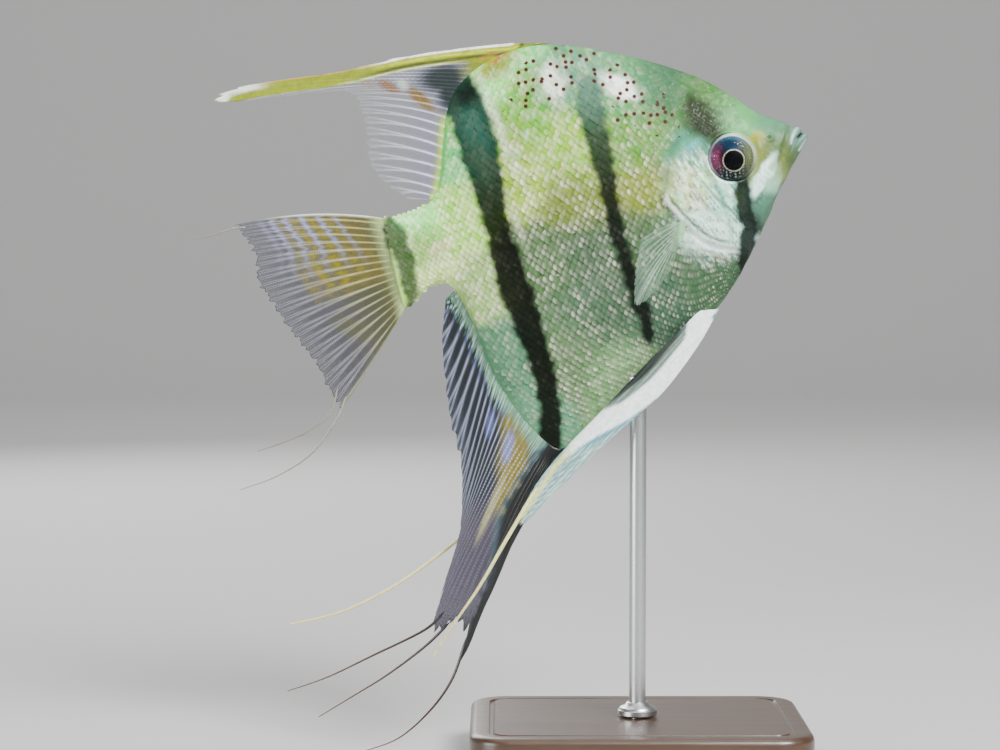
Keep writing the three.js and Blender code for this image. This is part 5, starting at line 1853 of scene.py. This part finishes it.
@dataclass(frozen=True)
class Stand:
    """Wooden base, steel collar and rod, and the lined cradle that holds the keel."""

    corner: float = 7 * MM
    edge: float = 1.2 * MM
    foot_inset: float = 1.6 * MM
    foot_height: float = 0.6 * MM
    wall: float = 0.5 * MM

    def base(self) -> None:
        """The base, with rounded corners, a soft top edge and a moulded step."""
        low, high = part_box("stand_base")
        deselect()
        bpy.ops.mesh.primitive_cube_add(size=1, location=(low + high) / 2)
        piece = bpy.context.object
        piece.name = "stand_plinth"
        piece.scale = high - low
        at_origin(piece)
        self.shift_bottom(piece, low.z, self.foot_height)
        self.round_edges(piece, lambda a, b: abs(a.z - b.z) > 1 * MM, self.corner, 12)
        top = high.z - 1e-5
        self.round_edges(piece, lambda a, b: a.z > top and b.z > top, self.edge, 5)
        bpy.ops.object.mode_set(mode="EDIT")
        bpy.ops.mesh.select_mode(type="FACE")
        bpy.ops.mesh.select_all(action="DESELECT")
        bpy.ops.object.mode_set(mode="OBJECT")
        for face in piece.data.polygons:
            face.select = face.normal.z > 0.999
        bpy.ops.object.mode_set(mode="EDIT")
        bpy.ops.mesh.inset(thickness=2.2 * MM)
        bpy.ops.mesh.inset(thickness=0.25 * MM, depth=-0.35 * MM)
        bpy.ops.mesh.inset(thickness=0.5 * MM)
        bpy.ops.mesh.inset(thickness=0.25 * MM, depth=0.35 * MM)
        bpy.ops.object.mode_set(mode="OBJECT")
        smooth_shaded(piece, math.radians(30))
        finish_piece(piece, WoodFinish().make(), "wood", "stand_base")
        self.foot(low, high)

    def foot(self, low: Vector, high: Vector) -> None:
        """The felt under the base."""
        deselect()
        size = (high.x - low.x - 2 * self.foot_inset, high.y - low.y - 2 * self.foot_inset, self.foot_height)
        bpy.ops.mesh.primitive_cube_add(size=1, location=(0, 0, low.z + self.foot_height / 2))
        piece = bpy.context.object
        piece.name = "stand_felt"
        piece.scale = size
        at_origin(piece)
        self.round_edges(piece, lambda a, b: abs(a.z - b.z) > 0.3 * MM, self.corner - self.foot_inset, 10)
        smooth_shaded(piece, math.radians(30))
        finish_piece(piece, FeltFinish("felt", (0.012, 0.016, 0.014)).make(), "wood")

    def shift_bottom(self, piece: bpy.types.Object, level: float, by: float) -> None:
        """Raises the vertices that lie at a level."""
        for vertex in piece.data.vertices:
            if abs(vertex.co.z - level) < 1e-6:
                vertex.co.z += by

    def round_edges(self, piece: bpy.types.Object, chosen: Callable[[Vector, Vector], bool], width: float,
                    segments: int) -> None:
        """Bevels the edges whose two ends answer a test."""
        make_active(piece)
        bpy.ops.object.mode_set(mode="EDIT")
        bpy.ops.mesh.select_mode(type="EDGE")
        bpy.ops.mesh.select_all(action="DESELECT")
        bpy.ops.object.mode_set(mode="OBJECT")
        points = [vertex.co.copy() for vertex in piece.data.vertices]
        for edge in piece.data.edges:
            edge.select = chosen(points[edge.vertices[0]], points[edge.vertices[1]])
        bpy.ops.object.mode_set(mode="EDIT")
        bpy.ops.mesh.bevel(offset=width, segments=segments, profile=0.5, affect="EDGES")
        bpy.ops.object.mode_set(mode="OBJECT")

    def metal(self) -> None:
        """The collar, the rod and the cradle."""
        steel = SteelFinish().make()
        low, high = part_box("stand_rod")
        radius = (high.x - low.x) / 2
        axis = Vector(((low.x + high.x) / 2, (low.y + high.y) / 2, 0))
        rod = turned("stand_post", [(0, low.z), (radius, low.z), (radius, high.z), (0, high.z)], axis)
        finish_piece(rod, steel, "steel", "stand_rod")
        low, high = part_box("stand_collar")
        wide = (high.x - low.x) / 2
        tall = high.z - low.z
        profile = [(radius, low.z), (wide - 0.2 * MM, low.z), (wide, low.z + 0.2 * MM),
                   (wide, low.z + tall * 0.4), (wide - 0.25 * MM, low.z + tall * 0.5),
                   (wide - 0.35 * MM, low.z + tall * 0.6), (radius + 0.7 * MM, low.z + tall * 0.8),
                   (radius + 0.5 * MM, high.z - 0.1 * MM), (radius + 0.35 * MM, high.z), (radius, high.z),
                   (radius, low.z)]
        collar = turned("stand_ferrule", profile, axis)
        finish_piece(collar, steel, "steel", "stand_collar")
        low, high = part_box("stand_cradle")
        wide = (high.x - low.x) / 2
        tall = high.z - low.z
        profile = [(0, low.z), (radius + 0.2 * MM, low.z), (radius + 0.35 * MM, low.z + 0.3 * MM),
                   (wide - 0.1 * MM, low.z + tall * 0.42), (wide, low.z + tall * 0.5), (wide, high.z - 0.15 * MM),
                   (wide - 0.15 * MM, high.z), (wide - self.wall, high.z - 0.05 * MM),
                   (wide - self.wall, high.z - tall * 0.3), (wide * 0.5, high.z - tall * 0.42),
                   (0, high.z - tall * 0.45)]
        cup = turned("stand_cup", profile, axis)
        finish_piece(cup, steel, "steel", "stand_cradle")
        inner = wide - self.wall
        lining = [(0, high.z - tall * 0.46), (wide * 0.5, high.z - tall * 0.43), (inner, high.z - tall * 0.3),
                  (inner, high.z + 0.12 * MM), (inner - 0.15 * MM, high.z + 0.2 * MM),
                  (inner - 0.35 * MM, high.z + 0.05 * MM), (inner - 0.45 * MM, high.z - tall * 0.22),
                  (wide * 0.4, high.z - tall * 0.34), (0, high.z - tall * 0.36)]
        pad = turned("stand_pad", lining, axis)
        finish_piece(pad, FeltFinish("pad", (0.03, 0.032, 0.034)).make(), "steel")

    def build(self) -> None:
        """Builds the whole stand."""
        self.base()
        self.metal()


@dataclass(frozen=True)
class Studio:
    """Pale round floor that rises to a wall, soft lights and the camera."""

    elevation: float = math.radians(3)
    distance: float = 495.2 * MM
    aim_shift: tuple[float, float] = (-0.15 * MM, 5.2 * MM)
    lens: float = 100.0
    floor_radius: float = 1.1
    cove: float = 0.6
    wall: float = 2.2

    def floor(self) -> None:
        """The floor and wall, in one pale sweep."""
        steps = [(self.floor_radius + self.cove * math.sin(a), self.cove * (1 - math.cos(a)))
                 for a in np.linspace(0, math.pi / 2, 12)]
        profile = [(0, 0), (self.floor_radius * 0.5, 0), *steps, (self.floor_radius + self.cove, self.wall)]
        sweep = turned("floor", profile, Vector((0, 0, 0)), 96)
        shader = Shader("pale_floor")
        sweep.data.materials.append(shader.surface(Base_Color=(0.46, 0.46, 0.455, 1), Roughness=0.85))

    def light(self, name: str, place: tuple[float, float, float], size: float, power: float, aim: Vector) -> None:
        """One square soft light turned to a point."""
        data = bpy.data.lights.new(name, "AREA")
        data.size = size
        data.energy = power
        lamp = bpy.data.objects.new(name, data)
        lamp.location = place
        lamp.rotation_euler = (aim - lamp.location).to_track_quat("-Z", "Y").to_euler()
        lamp.visible_camera = False
        bpy.context.scene.collection.objects.link(lamp)

    def build(self) -> None:
        """Sets the floor, the lights, the sky and the camera."""
        self.floor()
        low, high = CAD_BOX
        middle = (low + high) / 2
        self.light("key", (middle.x + 0.3, middle.y - 0.42, middle.z + 0.4), 0.3, 11.0, middle)
        self.light("fill", (middle.x - 0.55, middle.y - 0.34, middle.z + 0.05), 0.35, 4.0, middle)
        self.light("top", (middle.x, middle.y + 0.1, middle.z + 0.6), 0.6, 2.2, middle)
        self.light("rear", (middle.x - 0.2, middle.y + 0.55, middle.z + 0.3), 0.4, 3.0, middle)
        wall = middle + Vector((0, self.floor_radius + self.cove, 0.25))
        self.light("wall", (middle.x, middle.y + 0.75, middle.z + 0.8), 1.0, 7.0, wall)
        world = bpy.data.worlds.new("studio")
        bpy.context.scene.world = world
        world.use_nodes = True
        world.node_tree.nodes["Background"].inputs[0].default_value = (0.95, 0.97, 1.0, 1)
        world.node_tree.nodes["Background"].inputs[1].default_value = 0.28
        data = bpy.data.cameras.new("camera")
        data.lens = self.lens
        data.sensor_width = 36
        data.clip_start = 0.01
        camera = bpy.data.objects.new("camera", data)
        target = middle + Vector((self.aim_shift[0], 0, self.aim_shift[1]))
        back = Vector((0, -math.cos(self.elevation), math.sin(self.elevation)))
        camera.location = target + back * self.distance
        camera.rotation_euler = (-back).to_track_quat("-Z", "Y").to_euler()
        bpy.context.scene.collection.objects.link(camera)
        bpy.context.scene.camera = camera


def build_fins(fish: FishFrame, body: Body) -> None:
    """Builds every fin and its filaments."""

    def centred(u: Array, s: Array) -> Array:
        """The middle fins stand on the mid-plane."""
        return 0 * u

    Fin("dorsal_fin", fish, DORSAL_RAYS, 26, lambda u: -0.04 * np.minimum(u / 0.43, 1) ** 2, centred,
        paint_dorsal, "fin", ray_length=18 * MM, slim=0.75).build()
    Fin("anal_fin", fish, ANAL_RAYS, 36, lambda u: 0.07 * u - 0.055, centred, paint_anal, "fin",
        ray_length=25 * MM, columns_per_ray=8, forks=(0.5, 0.9)).build()
    Fin("caudal_fin", fish, CAUDAL_RAYS, 17, lambda u: 0.06 * u - 0.05, centred, paint_caudal, "fin",
        ray_length=24 * MM, columns_per_ray=14, forks=(0.2, 0.5), notch=0.022, slim=0.75).build()
    Filaments("caudal_threads", fish, CAUDAL_FILAMENTS, 1, 0.2 * MM, 0.06 * MM, ("8d8c80", "7d6a5c"), "fin").build()
    Filaments("anal_threads", fish, ANAL_FILAMENTS, 1, 0.3 * MM, 0.08 * MM, ("151412", "4a2f1c"), "fin").build()
    sides = (("right", -1, RIGHT_PELVIC_FILAMENT), ("left", 1, LEFT_PELVIC_FILAMENT))
    for name, side, line in sides:
        def pelvic_away(u: Array, s: Array, side: int = side) -> Array:
            """Distance of the pelvic fin from the mid-plane."""
            return side * (1.5 + 1.9 * np.minimum(s / 0.3, 1) + 1.2 * s * s) * MM

        root = body.flank(np.array([0.648]), np.array([-0.125]))[0]

        def pectoral_away(u: Array, s: Array, side: int = side, root: float = root) -> Array:
            """Distance of the pectoral fin from the mid-plane."""
            return side * (root + s * 0.17 * fish.length * math.tan(math.radians(28)))

        Fin("pelvic_fin_" + name, fish, PELVIC_RAYS, 9, lambda u: 0.03 * (1 - u) ** 3, pelvic_away, paint_pelvic,
            "pelvic", inside=1.0 * MM, root_half=0.6 * MM, ray_half=0.24 * MM, membrane_half=0.12 * MM,
            ray_length=30 * MM, forks=(0.8, 0.95), notch=0.01).build()
        Filaments("pelvic_thread_" + name, fish, (line,), side, 0.4 * MM, 0.16 * MM, ("f0f0a4", "e2d88c"),
                  "pelvic").build()
        Fin("pectoral_fin_" + name, fish, PECTORAL_RAYS, 11, lambda u: -0.04 + 0 * u, pectoral_away,
            paint_pectoral, "fin", inside=1.0 * MM, root_half=0.4 * MM, ray_half=0.14 * MM,
            membrane_half=0.04 * MM, ray_length=10 * MM, rows=44).build()


def main() -> None:
    """Builds the model's looks in order and reports each piece."""
    logging.basicConfig(level=logging.INFO, format="%(name)s: %(message)s")
    fish = FishFrame()
    body = Body(fish)
    markings = Markings()
    Studio().build()
    Skin(body, markings).build()
    for side in (-1, 1):
        Scales(body, markings).build(side)
        Eye(body, side).build()
    build_fins(fish, body)
    Stand().build()


if __name__ == "__main__":
    main()
